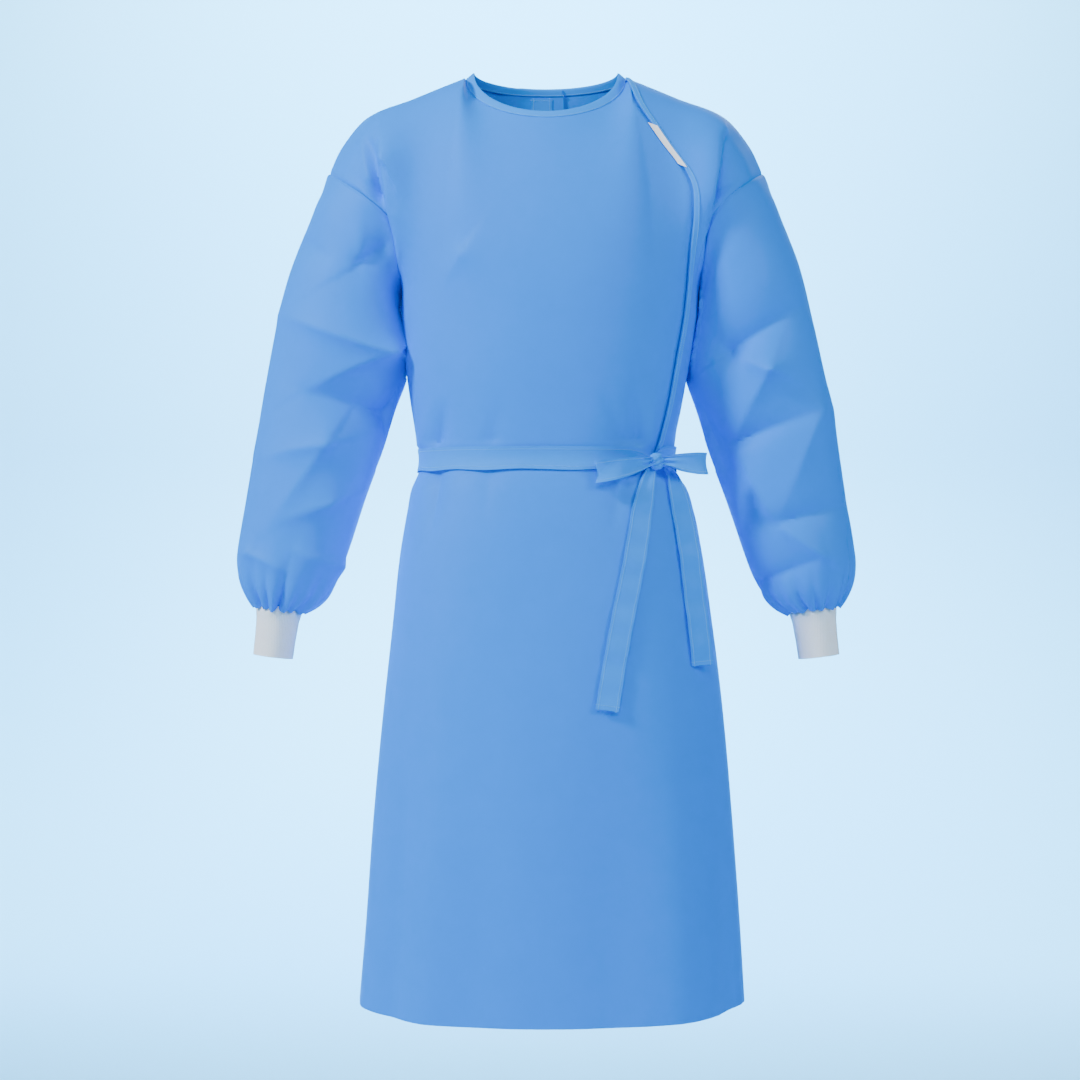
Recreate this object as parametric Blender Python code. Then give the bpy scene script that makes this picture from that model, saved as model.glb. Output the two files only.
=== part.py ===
"""Isolation gown, worn and filled out: wrap front with a bound lap, open back, gathered sleeves
with knitted cuffs, and a belt tied in a bow.

Metres, Z up. The front faces -Y and the wearer's left is +X. The origin lies between the two neck
points of the shoulders, at their height, where the wearer holds the gown up.
"""

import math
from collections import namedtuple

import bmesh
import bpy
import numpy as np

# Cloth walls and the gaps between pieces
WALL = 0.0015
SEAM_GAP = 0.0004
LAP_STEP = 0.0030
TRIM_WALL = 0.0012
TRIM_LIFT = 0.0004

# Girth places are shares of the way round, from the centre back by the wearer's right side
SIDE_RIGHT = 0.25
CENTRE_FRONT = 0.5
SIDE_LEFT = 0.75

# Share of a quarter of the girth, from the side, where the shoulder line meets the neck
SHOULDER_SHARE = 0.56
SHOULDER_STEPS = 6
NECK_STEPS = 6

# Share of the yoke's height where the underarm is, and how far in the armhole shapes the cloth
UNDERARM_SHARE = 0.10
ARMHOLE_SPREAD = 0.50
ARMHOLE_STEPS = 8
FRONT = -1.0
BACK = 1.0

# Body: level sections from the hem to the underarm
SQUARENESS = 2.3
Section = namedtuple("Section", "z right left front back")
BODY_SECTIONS = [
    Section(-1.165, 0.2325, 0.2465, 0.158, 0.150),
    Section(-1.080, 0.2255, 0.2415, 0.155, 0.148),
    Section(-0.930, 0.2155, 0.2305, 0.149, 0.142),
    Section(-0.790, 0.2030, 0.2185, 0.142, 0.135),
    Section(-0.690, 0.1920, 0.2070, 0.136, 0.129),
    Section(-0.600, 0.1815, 0.1950, 0.130, 0.122),
    Section(-0.550, 0.1725, 0.1855, 0.126, 0.118),
    Section(-0.520, 0.1665, 0.1755, 0.122, 0.114),
    Section(-0.503, 0.1595, 0.1625, 0.118, 0.109),
    Section(-0.488, 0.1570, 0.1590, 0.115, 0.106),
    Section(-0.473, 0.1585, 0.1605, 0.117, 0.108),
    Section(-0.420, 0.1675, 0.1710, 0.122, 0.112),
    Section(-0.365, 0.1750, 0.1805, 0.126, 0.116),
    Section(-0.310, 0.1800, 0.1900, 0.128, 0.118),
]
HEM_Z = BODY_SECTIONS[0].z
UNDERARM_Z = BODY_SECTIONS[-1].z

# Side of the yoke: from the top of the side seam round the armhole to the shoulder's end
Armhole = namedtuple("Armhole", "up x_right x_left y_front y_back z")
ARMHOLE = [
    Armhole(0.00, 0.1800, 0.1900, 0.000, 0.000, -0.310),
    Armhole(0.10, 0.1800, 0.1915, 0.004, 0.004, -0.283),
    Armhole(0.32, 0.1830, 0.1945, -0.045, 0.053, -0.245),
    Armhole(0.50, 0.1915, 0.2020, -0.066, 0.078, -0.195),
    Armhole(0.64, 0.2200, 0.2230, -0.068, 0.078, -0.168),
    Armhole(0.78, 0.2480, 0.2480, -0.048, 0.056, -0.147),
    Armhole(1.00, 0.2720, 0.2720, 0.004, 0.004, -0.128),
]

# Shoulder line from its end on the arm to the neck
Shoulder = namedtuple("Shoulder", "share x y z")
SHOULDER = [
    Shoulder(0.00, 0.2720, 0.004, -0.1280),
    Shoulder(0.13, 0.2540, 0.004, -0.0915),
    Shoulder(0.24, 0.2260, 0.004, -0.0585),
    Shoulder(0.40, 0.1640, 0.004, -0.0340),
    Shoulder(0.56, 0.1003, 0.004, -0.0090),
]

# Neck: the cloth's edge and the rim of the binding on it
Neck = namedtuple("Neck", "half_width depth_front depth_back z drop_front drop_back")
NECK_CLOTH = Neck(0.1003, 0.0835, 0.0710, -0.0090, 0.0645, 0.0075)
NECK_RIM = Neck(0.0905, 0.0790, 0.0680, 0.0000, 0.0645, 0.0077)
SHOULDER_Y = 0.004
NECK_LEAN_FRONT = 0.45
NECK_LEAN_BACK = 0.25
NECK_CORNER_GAP = 0.0010
BINDING_PROUD = 0.0005
BINDING_THICKNESS = 0.0024

# Lap: free edge of the wearer's-left front, from the waist to the neck
LapPoint = namedtuple("LapPoint", "z x")
LAP_EDGE = [
    LapPoint(-0.510, 0.1260),
    LapPoint(-0.481, 0.1335),
    LapPoint(-0.415, 0.1505),
    LapPoint(-0.372, 0.1585),
    LapPoint(-0.293, 0.1720),
    LapPoint(-0.232, 0.1757),
    LapPoint(-0.184, 0.1791),
    LapPoint(-0.155, 0.1772),
    LapPoint(-0.134, 0.1679),
    LapPoint(-0.107, 0.1486),
    LapPoint(-0.079, 0.1298),
    LapPoint(-0.051, 0.1124),
    LapPoint(-0.009, 0.0990),
]
UNDERLAP = 0.026
UNDERLAP_AT_NECK = 0.016
UNDERLAP_START = 0.0015
UNDERLAP_COLUMNS = 4
UNDERLAP_SIDE_SHARE = 0.35
LAP_BINDING_WIDTH = 0.0095
LAP_ROLL = 0.010
WAIST_STEP_Z = -0.4930
WAIST_SEAM_Z = -0.4915

# Back laps past the centre, as shares of the girth, at the hem and at the neck
BACK_LAP_OUTER = (0.060, 0.027)
BACK_LAP_INNER = (0.050, 0.016)

# Levels of the cloth's rows from the hem to the underarm, and rows above it
BODY_LEVELS = (
    -1.165, -1.075, -0.970, -0.860, -0.750, -0.655, -0.585, -0.545, -0.518, -0.5045,
    -0.4970, -0.4930, -0.4915, -0.4725, -0.440, -0.400, -0.355, -0.310,
)

# Long soft folds of the skirt: place round the body, half width, height at the hem, top level
SkirtFold = namedtuple("SkirtFold", "girth width height top")
SKIRT_FOLDS = [
    SkirtFold(0.300, 0.022, 0.0050, -0.56),
    SkirtFold(0.355, 0.018, -0.0055, -0.50),
    SkirtFold(0.400, 0.018, 0.0040, -0.52),
    SkirtFold(0.450, 0.022, -0.0035, -0.60),
    SkirtFold(0.545, 0.026, -0.0040, -0.54),
    SkirtFold(0.610, 0.022, 0.0045, -0.62),
    SkirtFold(0.680, 0.020, -0.0055, -0.53),
    SkirtFold(0.720, 0.016, 0.0035, -0.60),
    SkirtFold(0.800, 0.022, 0.0060, -0.55),
    SkirtFold(0.860, 0.020, -0.0060, -0.52),
    SkirtFold(0.925, 0.024, 0.0050, -0.58),
    SkirtFold(0.080, 0.020, -0.0060, -0.54),
    SkirtFold(0.140, 0.022, 0.0055, -0.53),
    SkirtFold(0.200, 0.020, -0.0050, -0.58),
]

# Creases of the body: ends in x and z, height and half width; front and back have their own
Crease = namedtuple("Crease", "x1 z1 x2 z2 height width")
FRONT_CREASES = [
    Crease(-0.220, -0.085, -0.189, -0.200, -0.0110, 0.013),
    Crease(0.222, -0.072, 0.204, -0.176, -0.0100, 0.013),
    Crease(-0.102, -0.245, -0.124, -0.290, -0.0040, 0.016),
    Crease(-0.134, -0.474, -0.136, -0.425, -0.0045, 0.010),
    Crease(-0.066, -0.474, -0.060, -0.430, -0.0030, 0.012),
    Crease(0.118, -0.470, 0.108, -0.400, -0.0045, 0.009),
    Crease(0.103, -0.474, 0.078, -0.420, 0.0025, 0.012),
    Crease(-0.118, -0.506, -0.121, -0.600, -0.0050, 0.016),
    Crease(-0.071, -0.506, -0.073, -0.590, -0.0040, 0.016),
    Crease(0.104, -0.506, 0.098, -0.570, -0.0040, 0.012),
]
BACK_CREASES = [
    Crease(-0.218, -0.090, -0.192, -0.200, -0.0100, 0.014),
    Crease(0.220, -0.088, 0.202, -0.190, -0.0110, 0.014),
    Crease(-0.115, -0.465, -0.108, -0.400, -0.0050, 0.013),
    Crease(0.118, -0.465, 0.108, -0.410, -0.0050, 0.013),
    Crease(-0.112, -0.512, -0.118, -0.600, -0.0050, 0.015),
    Crease(0.112, -0.512, 0.118, -0.600, -0.0050, 0.015),
]

# Sleeve sections from the armhole to the gathered end: outer and inner edge, then its depths
SleeveSection = namedtuple("SleeveSection", "along outer_x outer_z inner_x inner_z front back")
SLEEVE_SECTIONS = [
    SleeveSection(0.10, 0.2905, -0.1740, 0.1800, -0.3080, 0.074, 0.080),
    SleeveSection(0.22, 0.3180, -0.2440, 0.1790, -0.3400, 0.071, 0.074),
    SleeveSection(0.34, 0.3365, -0.3160, 0.1775, -0.3750, 0.067, 0.067),
    SleeveSection(0.46, 0.3515, -0.3900, 0.1880, -0.4180, 0.063, 0.063),
    SleeveSection(0.58, 0.3640, -0.4630, 0.2030, -0.4720, 0.060, 0.060),
    SleeveSection(0.70, 0.3750, -0.5300, 0.2265, -0.5350, 0.058, 0.058),
    SleeveSection(0.80, 0.3845, -0.5900, 0.2480, -0.6010, 0.056, 0.056),
    SleeveSection(0.87, 0.3870, -0.6180, 0.2610, -0.6370, 0.052, 0.052),
    SleeveSection(0.93, 0.3825, -0.6430, 0.2745, -0.6600, 0.046, 0.046),
    SleeveSection(0.97, 0.3740, -0.6600, 0.2895, -0.6720, 0.038, 0.038),
    SleeveSection(1.00, 0.3664, -0.6705, 0.3036, -0.6790, 0.0315, 0.0315),
]
SLEEVE_ROWS = (0.05, 0.10, 0.16, 0.22, 0.28, 0.34, 0.40, 0.46, 0.52, 0.58, 0.64, 0.70, 0.76, 0.82,
               0.87, 0.92, 0.96, 1.00)
SLEEVE_CLEARANCE = 0.0035
GATHER_HEIGHT = 0.0017
GATHER_START = 0.74

# Sleeve creases as seen from the front: the wearer's right arm, then the left; backs follow each
RIGHT_SLEEVE_CREASES = [
    Crease(-0.235, -0.247, -0.196, -0.224, -0.009, 0.012),
    Crease(-0.335, -0.310, -0.205, -0.355, 0.007, 0.014),
    Crease(-0.205, -0.362, -0.300, -0.412, -0.008, 0.015),
    Crease(-0.345, -0.482, -0.275, -0.470, 0.006, 0.014),
    Crease(-0.276, -0.474, -0.342, -0.568, -0.006, 0.015),
    Crease(-0.342, -0.570, -0.270, -0.545, 0.005, 0.012),
    Crease(-0.365, -0.606, -0.308, -0.631, -0.004, 0.010),
]
LEFT_SLEEVE_CREASES = [
    Crease(0.222, -0.360, 0.322, -0.292, 0.007, 0.014),
    Crease(0.222, -0.360, 0.268, -0.382, -0.008, 0.012),
    Crease(0.228, -0.468, 0.334, -0.427, 0.007, 0.013),
    Crease(0.268, -0.384, 0.228, -0.466, -0.007, 0.014),
    Crease(0.334, -0.430, 0.282, -0.562, -0.006, 0.015),
    Crease(0.228, -0.470, 0.282, -0.562, 0.005, 0.013),
    Crease(0.282, -0.564, 0.376, -0.541, 0.005, 0.012),
    Crease(0.338, -0.607, 0.260, -0.640, -0.004, 0.010),
]
SLEEVE_BACK_CREASES = [
    Crease(0.330, -0.330, 0.215, -0.375, 0.007, 0.015),
    Crease(0.215, -0.380, 0.320, -0.440, -0.008, 0.015),
    Crease(0.350, -0.470, 0.250, -0.500, 0.006, 0.014),
    Crease(0.250, -0.505, 0.345, -0.560, -0.006, 0.014),
]

# Cuff: a knitted tube whose top is inside the gathered end of the sleeve
Cuff = namedtuple("Cuff", "x z half_width")
CUFF_RINGS = [
    Cuff(0.3344, -0.6690, 0.0270),
    Cuff(0.3350, -0.6765, 0.0290),
    Cuff(0.3366, -0.6880, 0.0268),
    Cuff(0.3396, -0.7110, 0.0256),
    Cuff(0.3424, -0.7330, 0.0252),
]
CUFF_TILT = math.radians(7.3)
CUFF_STEPS = 24

# Belt and bow
BELT_Z = -0.488
BELT_WIDTH = 0.028
BELT_LIFT = 0.0010
BELT_WALL = 0.0018
BELT_STEPS = 80
KNOT_X = 0.1262
KNOT_Z = -0.4915
KNOT_HALF = (0.0105, 0.0080, 0.0108)
KNOT_STEPS = 12
KNOT_LIFT = 0.0012
StripPoint = namedtuple("StripPoint", "x z half_width lift")
TAIL_LEFT_OF_KNOT = [
    StripPoint(0.1245, -0.5020, 0.0070, 0.0042),
    StripPoint(0.1235, -0.5080, 0.0080, 0.0042),
    StripPoint(0.1215, -0.5180, 0.0098, 0.0040),
    StripPoint(0.1171, -0.5380, 0.0125, 0.0036),
    StripPoint(0.1107, -0.5792, 0.0138, 0.0034),
    StripPoint(0.1004, -0.6371, 0.0140, 0.0034),
    StripPoint(0.0884, -0.6956, 0.0140, 0.0032),
    StripPoint(0.0720, -0.7902, 0.0140, 0.0030),
]
TAIL_RIGHT_OF_KNOT = [
    StripPoint(0.1415, -0.4988, 0.0050, 0.0046),
    StripPoint(0.1460, -0.5070, 0.0070, 0.0044),
    StripPoint(0.1505, -0.5180, 0.0098, 0.0040),
    StripPoint(0.1560, -0.5360, 0.0125, 0.0036),
    StripPoint(0.1635, -0.5702, 0.0138, 0.0034),
    StripPoint(0.1705, -0.6174, 0.0140, 0.0034),
    StripPoint(0.1765, -0.6669, 0.0140, 0.0032),
    StripPoint(0.1850, -0.7384, 0.0140, 0.0030),
]
TAIL_TURN = (0.15, 0.50)
# Loops: distance from the knot, height of the middle, half width, then depths of its two layers
LoopPoint = namedtuple("LoopPoint", "run rise half_width back front")
LOOP_OUT = [
    LoopPoint(0.0114, 0.0010, 0.0050, -0.0026, 0.0022),
    LoopPoint(0.0220, 0.0005, 0.0080, -0.0044, 0.0046),
    LoopPoint(0.0350, -0.0005, 0.0110, -0.0050, 0.0060),
    LoopPoint(0.0480, -0.0010, 0.0128, -0.0046, 0.0052),
    LoopPoint(0.0560, -0.0012, 0.0132, -0.0034, 0.0034),
]
LOOP_END_RUN = 0.0600
LOOP_END_DEPTH = 0.0
LOOP_SAMPLES = 60
Loop = namedtuple("Loop", "side root length droop lift")
LOOP_RIGHT = Loop(-1, 0.0094, 1.54, -0.16, 0.0070)
LOOP_LEFT = Loop(1, 0.0096, 1.15, -0.02, 0.0080)
LOOP_LEFT_WAY = (0.985, 0.17, 0.0)
TAIL_ROWS = 14

# Small pieces
TAB_WIDTH = 0.0100
TAB_TOP_Z = -0.0880
TAB_END_Z = -0.1300
TAB_GAP = 0.0056
TAB_ROWS = 7
TAPE_X = (-0.0190, 0.0080)
TAPE_TOP = 0.010
TAPE_END = 0.220
TAPE_ROWS = 6

# Finishes: colour, roughness
CLOTH_BLUE = (0.085, 0.345, 0.930, 1.0)
TRIM_BLUE = (0.110, 0.385, 0.950, 1.0)
KNIT_WHITE = (0.84, 0.85, 0.93, 1.0)
TAB_WHITE = (0.90, 0.92, 0.97, 1.0)


def smooth_rows(rows, at):
    """The columns of a table after its first, read on a smooth curve through every row."""
    table = np.asarray(rows, float)
    place, values = table[:, 0], table[:, 1:]
    slope = np.gradient(values, place, axis=0)
    at = np.clip(np.asarray(at, float), place[0], place[-1])
    low = np.clip(np.searchsorted(place, at) - 1, 0, len(place) - 2)
    step = (place[low + 1] - place[low])[..., None]
    t = ((at - place[low]) / (place[low + 1] - place[low]))[..., None]
    return hermite(values[low], slope[low] * step, values[low + 1], slope[low + 1] * step, t)


def hermite(start, leaving, end, arriving, t):
    """A smooth curve between two points with the directions given at its ends."""
    return (
        start * (2 * t**3 - 3 * t**2 + 1)
        + leaving * (t**3 - 2 * t**2 + t)
        + end * (3 * t**2 - 2 * t**3)
        + arriving * (t**3 - t**2)
    )


def unit(vectors):
    """Vectors of length one."""
    length = np.linalg.norm(vectors, axis=-1, keepdims=True)
    return vectors / np.maximum(length, 1e-12)


def ease(t):
    """Zero to one with soft ends."""
    t = np.clip(t, 0, 1)
    return t * t * (3 - 2 * t)


def ring(girth, z):
    """A point of the level section at z."""
    right, left, front, back = np.moveaxis(smooth_rows(BODY_SECTIONS, z), -1, 0)
    turn = 2 * math.pi * girth
    across, along = np.sin(turn), np.cos(turn)
    half_width = np.where(across > 0, right, left)
    depth = np.where(along > 0, back, front)
    power = 2 / SQUARENESS
    x = -half_width * np.sign(across) * np.abs(across) ** power
    y = depth * np.sign(along) * np.abs(along) ** power
    return np.stack([x, y, z + 0 * x], -1)


def quarter_of(girth):
    """Share of the quarter from the side to the centre, and the side that it is on."""
    girth = np.mod(girth, 1.0)
    away = np.abs(np.mod(girth, 0.5) - SIDE_RIGHT) / SIDE_RIGHT
    return np.clip(away, 0, 1), np.where(girth < CENTRE_FRONT, -1.0, 1.0)


def neck_point(neck, girth, facing):
    """A point of a neck curve, from the shoulder to the centre."""
    share, side = quarter_of(girth)
    turn = np.clip((share - SHOULDER_SHARE) / (1 - SHOULDER_SHARE), 0, 1) * math.pi / 2
    depth = neck.depth_front if facing == FRONT else neck.depth_back
    drop = neck.drop_front if facing == FRONT else neck.drop_back
    x = side * neck.half_width * np.cos(turn)
    y = SHOULDER_Y + (facing * depth - SHOULDER_Y) * np.sin(turn)
    return np.stack([x, y, neck.z - drop * np.sin(turn)], -1)


def top_edge(girth, facing):
    """The shoulder line and neck edge of the body cloth, and the way that the cloth arrives."""
    share, side = quarter_of(girth)
    line = smooth_rows(SHOULDER, np.minimum(share, SHOULDER_SHARE))
    line_point = np.stack([line[..., 0] * side, line[..., 1], line[..., 2]], -1)
    level = np.stack([0 * share, -facing + 0 * share, 0 * share], -1)
    rounded = np.sin(np.clip((share - SHOULDER_SHARE) / (1 - SHOULDER_SHARE), 0, 1) * math.pi / 2)
    lean = NECK_LEAN_FRONT if facing == FRONT else NECK_LEAN_BACK
    neck_way = np.stack([0 * share, -facing * (1 - rounded * (1 - lean)), 0.9 * rounded], -1)
    on_line = (share <= SHOULDER_SHARE)[..., None]
    point = np.where(on_line, line_point, neck_point(NECK_CLOTH, girth, facing))
    return point, unit(np.where(on_line, level, neck_way))


def armhole_point(side, facing, up):
    """A point of the yoke's side edge: the side seam, then the armhole."""
    x_right, x_left, y_front, y_back, z = np.moveaxis(smooth_rows(ARMHOLE, up), -1, 0)
    x = np.where(side < 0, -x_right, x_left)
    return np.stack([x, y_front if facing == FRONT else y_back, z], -1)


def yoke_column(girth, facing, up):
    """A smooth column of cloth from the underarm's level to the top edge."""
    start = ring(girth, UNDERARM_Z + 0 * up)
    leaving = unit(start - ring(girth, UNDERARM_Z - 0.012 + 0 * up))
    end, arriving = top_edge(girth, facing)
    reach = np.linalg.norm(end - start, axis=-1, keepdims=True)
    return hermite(start, leaving * reach, end, arriving * reach, up[..., None])


def plain_body(girth, row, facing):
    """The body without its creases: row 0 to 1 from hem to underarm, 1 to 2 up to the top edge."""
    girth, row = np.broadcast_arrays(np.asarray(girth, float), np.asarray(row, float))
    low = ring(girth, HEM_Z + (UNDERARM_Z - HEM_Z) * np.clip(row, 0, 1))
    up = np.clip(row - 1, 0, 1)
    share, side = quarter_of(girth)
    side_girth = np.where(side < 0, SIDE_RIGHT, SIDE_LEFT)
    shift = armhole_point(side, facing, up) - yoke_column(side_girth, facing, up)
    pull = 1 - ease(share / ARMHOLE_SPREAD)
    high = yoke_column(girth, facing, up) + shift * pull[..., None]
    return np.where((row > 1)[..., None], high, low)


def plain_normal(girth, row, facing):
    """The outward direction of the plain body, from differences that stay on its own face."""
    step = 0.002
    middle = CENTRE_FRONT if facing == FRONT else 0.0
    offset = np.mod(girth - middle + 0.5, 1.0) - 0.5
    before = middle + np.clip(offset - step, -SIDE_RIGHT, SIDE_RIGHT)
    after = middle + np.clip(offset + step, -SIDE_RIGHT, SIDE_RIGHT)
    around = plain_body(after, row, facing) - plain_body(before, row, facing)
    above = np.minimum(row + step, 2)
    upward = plain_body(girth, above, facing) - plain_body(girth, above - 2 * step, facing)
    normal = unit(np.cross(around, upward))
    share, side = quarter_of(girth)
    inside = np.clip(share, step, SHOULDER_SHARE - step)
    line = smooth_rows(SHOULDER, inside + step) - smooth_rows(SHOULDER, inside - step)
    line_normal = unit(np.stack([line[..., 2] * side, 0 * share, -line[..., 0]], -1))
    at_line = (row >= 2 - 1e-6) & (share <= SHOULDER_SHARE + 1e-6)
    return np.where(at_line[..., None], line_normal, normal)


def crease_height(creases, x, z):
    """How far the creases raise the cloth at a place seen from the front or the back."""
    total = 0 * x
    for crease in creases:
        run_x, run_z = crease.x2 - crease.x1, crease.z2 - crease.z1
        length = math.hypot(run_x, run_z)
        share = ((x - crease.x1) * run_x + (z - crease.z1) * run_z) / length**2
        near = np.clip(share, 0, 1)
        away = np.hypot(x - crease.x1 - near * run_x, z - crease.z1 - near * run_z)
        total = total + crease.height * np.exp(-((away / crease.width) ** 2))
    return total


def skirt_height(girth, z):
    """How far the long folds raise the skirt."""
    total = 0 * z
    for fold in SKIRT_FOLDS:
        away = np.abs(np.mod(girth - fold.girth + 0.5, 1.0) - 0.5)
        grown = ease((fold.top - z) / (fold.top - HEM_Z))
        total = total + fold.height * grown * np.exp(-((away / fold.width) ** 2))
    return total


def body(girth, row, facing, drop=0.0):
    """A point of the body cloth and its outward direction; drop sinks it under another layer."""
    girth, row = np.broadcast_arrays(np.asarray(girth, float), np.asarray(row, float))
    point = plain_body(girth, row, facing)
    normal = plain_normal(girth, row, facing)
    creases = FRONT_CREASES if facing == FRONT else BACK_CREASES
    fade = np.clip(facing * point[..., 1] / 0.03, 0, 1) * (1 - ease((row - 1.8) / 0.2))
    share, _side = quarter_of(girth)
    fade = fade * np.where(row > 1 + UNDERARM_SHARE, ease(share / 0.08), 1)
    fade = fade * ease((np.abs(point[..., 2] - BELT_Z) - BELT_WIDTH / 2) / 0.020)
    height = crease_height(creases, point[..., 0], point[..., 2]) * fade
    height = height + skirt_height(girth, point[..., 2]) * (row < 1)
    return point + normal * (height - drop)[..., None], normal


def row_of(z):
    """The row of a level below the underarm."""
    return (z - HEM_Z) / (UNDERARM_Z - HEM_Z)


def girth_at(x, row, facing, low, high):
    """The girth place between low and high where the body's x is the one given."""
    samples = np.linspace(low, high, 400)
    found = plain_body(samples, row, facing)[:, 0]
    order = np.argsort(found)
    return float(np.interp(x, found[order], samples[order]))


def lap_girth(row):
    """The girth place of the lap's free edge on a row."""
    neck_corner = SIDE_LEFT - SHOULDER_SHARE * SIDE_RIGHT
    if row >= 2:
        return neck_corner
    samples = np.linspace(CENTRE_FRONT + 0.02, SIDE_LEFT - 0.005, 400)
    points = plain_body(samples, row, FRONT)
    past = points[:, 0] - smooth_rows(LAP_EDGE, points[:, 2])[:, 0]
    return float(samples[int(np.argmax(past > 0))])


def girth_share(row, girth, facing, distance):
    """The change of girth place that moves a point by a distance on a row."""
    step = 0.004
    here = plain_body(girth, row, facing)
    there = plain_body(girth - step, row, facing)
    return distance * step / float(np.linalg.norm(there - here))


def quarter_places():
    """Shares of a quarter, from the side, where columns of cloth meet the shoulder and neck."""
    line = np.linspace(0, SHOULDER_SHARE, SHOULDER_STEPS + 1)
    return np.concatenate([line, neck_places()])


def neck_places():
    """Shares of a quarter where columns of cloth meet the neck, after its corner."""
    return np.linspace(SHOULDER_SHARE, 1, NECK_STEPS + 1)[1:]


def armhole_rows():
    """Heights in the yoke where its rows meet the armhole, from the underarm."""
    return np.linspace(UNDERARM_SHARE, 1, ARMHOLE_STEPS + 1)


def body_rows():
    """Every row of the body cloth, from the hem to the top edge."""
    return [row_of(z) for z in BODY_LEVELS] + [1 + up for up in armhole_rows()]


def pull_in(grid, gap, sides):
    """Moves the named edges of a grid of points inwards, to leave half of a seam's gap."""
    grid = grid.copy()
    if "start" in sides:
        grid[:, 0] += gap * unit(grid[:, 1] - grid[:, 0])
    if "end" in sides:
        grid[:, -1] += gap * unit(grid[:, -2] - grid[:, -1])
    if "low" in sides:
        grid[0] += gap * unit(grid[1] - grid[0])
    if "high" in sides:
        grid[-1] += gap * unit(grid[-2] - grid[-1])
    return grid


def shell_mesh(name, outer, inner, closed_round=False):
    """A wall between two grids of points, closed along its edges."""
    rows, columns = outer.shape[:2]
    mesh = bpy.data.meshes.new(name)
    shape = bmesh.new()
    out = [[shape.verts.new(outer[r, c]) for c in range(columns)] for r in range(rows)]
    into = [[shape.verts.new(inner[r, c]) for c in range(columns)] for r in range(rows)]
    spans = columns if closed_round else columns - 1
    for r in range(rows - 1):
        for c in range(spans):
            d = (c + 1) % columns
            shape.faces.new((out[r][c], out[r][d], out[r + 1][d], out[r + 1][c]))
            shape.faces.new((into[r][c], into[r + 1][c], into[r + 1][d], into[r][d]))
    for c in range(spans):
        d = (c + 1) % columns
        shape.faces.new((out[0][d], out[0][c], into[0][c], into[0][d]))
        shape.faces.new((out[-1][c], out[-1][d], into[-1][d], into[-1][c]))
    if not closed_round:
        for r in range(rows - 1):
            shape.faces.new((out[r][0], out[r + 1][0], into[r + 1][0], into[r][0]))
            shape.faces.new((out[r + 1][-1], out[r][-1], into[r][-1], into[r + 1][-1]))
    bmesh.ops.triangulate(shape, faces=shape.faces[:])
    bmesh.ops.recalc_face_normals(shape, faces=shape.faces[:])
    shape.to_mesh(mesh)
    shape.free()
    return mesh


def material(name, colour, roughness):
    """A plain finish."""
    finish = bpy.data.materials.new(name)
    finish.use_nodes = True
    shader = finish.node_tree.nodes["Principled BSDF"]
    shader.inputs["Base Color"].default_value = colour
    shader.inputs["Roughness"].default_value = roughness
    shader.inputs["Metallic"].default_value = 0.0
    return finish


def add_piece(name, mesh, finish):
    """Places a finished mesh in the gown's collection."""
    piece = bpy.data.objects.new(name, mesh)
    piece.data.materials.append(material(name + "_finish", *finish))
    mesh.shade_smooth()
    mesh.set_sharp_from_angle(angle=math.radians(40))
    bpy.data.collections["isolation_gown"].objects.link(piece)
    return piece


def wall(name, points, normals, finish, thickness=WALL, closed_round=False):
    """A piece of cloth from its outer points and their outward directions."""
    mesh = shell_mesh(name, points, points - thickness * normals, closed_round)
    return add_piece(name, mesh, finish)


def body_panel(name, girths, rows, facing, drops, sides):
    """A panel of the body: a girth place and a drop for each row and column."""
    row_grid = np.repeat(np.asarray(rows, float)[:, None], girths.shape[1], axis=1)
    points, normals = body(girths, row_grid, facing)
    normals[:, 1:-1] = unit(normals[:, :-2] + 2 * normals[:, 1:-1] + normals[:, 2:])
    points = pull_in(points - normals * drops[..., None], SEAM_GAP / 2, sides)
    wall(name, points, normals, (CLOTH_BLUE, 0.6))
    return points, normals


def make_front_main():
    """Main front: full width below the waist, and under the lap above it."""
    top = quarter_places()
    corner = SIDE_LEFT - SHOULDER_SHARE * SIDE_RIGHT
    past_centre = SIDE_LEFT - neck_places()[::-1][1:] * SIDE_RIGHT
    places = np.concatenate([SIDE_RIGHT + top * SIDE_RIGHT, past_centre, [corner]])
    shares = (places - SIDE_RIGHT) / (corner - SIDE_RIGHT)
    girths, drops = [], []
    for row in body_rows():
        lap = lap_girth(row)
        low = row < row_of(WAIST_STEP_Z) - 1e-6
        near = lap - girth_share(row, lap, FRONT, LAP_ROLL)
        reach = UNDERLAP + (UNDERLAP_AT_NECK - UNDERLAP) * ease((row - 1.5) / 0.5)
        reach = min(girth_share(row, lap, FRONT, reach), UNDERLAP_SIDE_SHARE * (SIDE_LEFT - lap))
        start = lap + girth_share(row, lap, FRONT, UNDERLAP_START)
        end = SIDE_LEFT if low else lap + reach
        flat = list(SIDE_RIGHT + shares * (near - SIDE_RIGHT))
        if row >= 2:
            flat = list(places[:-1]) + [near]
        tail = list(np.linspace(start, end, UNDERLAP_COLUMNS))
        girths.append(flat + tail)
        drops.append([0.0] * len(flat) + [0.0 if low else LAP_STEP] * len(tail))
    body_panel(
        "front_main", np.array(girths), body_rows(), FRONT, np.array(drops), ("start", "end", "high")
    )


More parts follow.
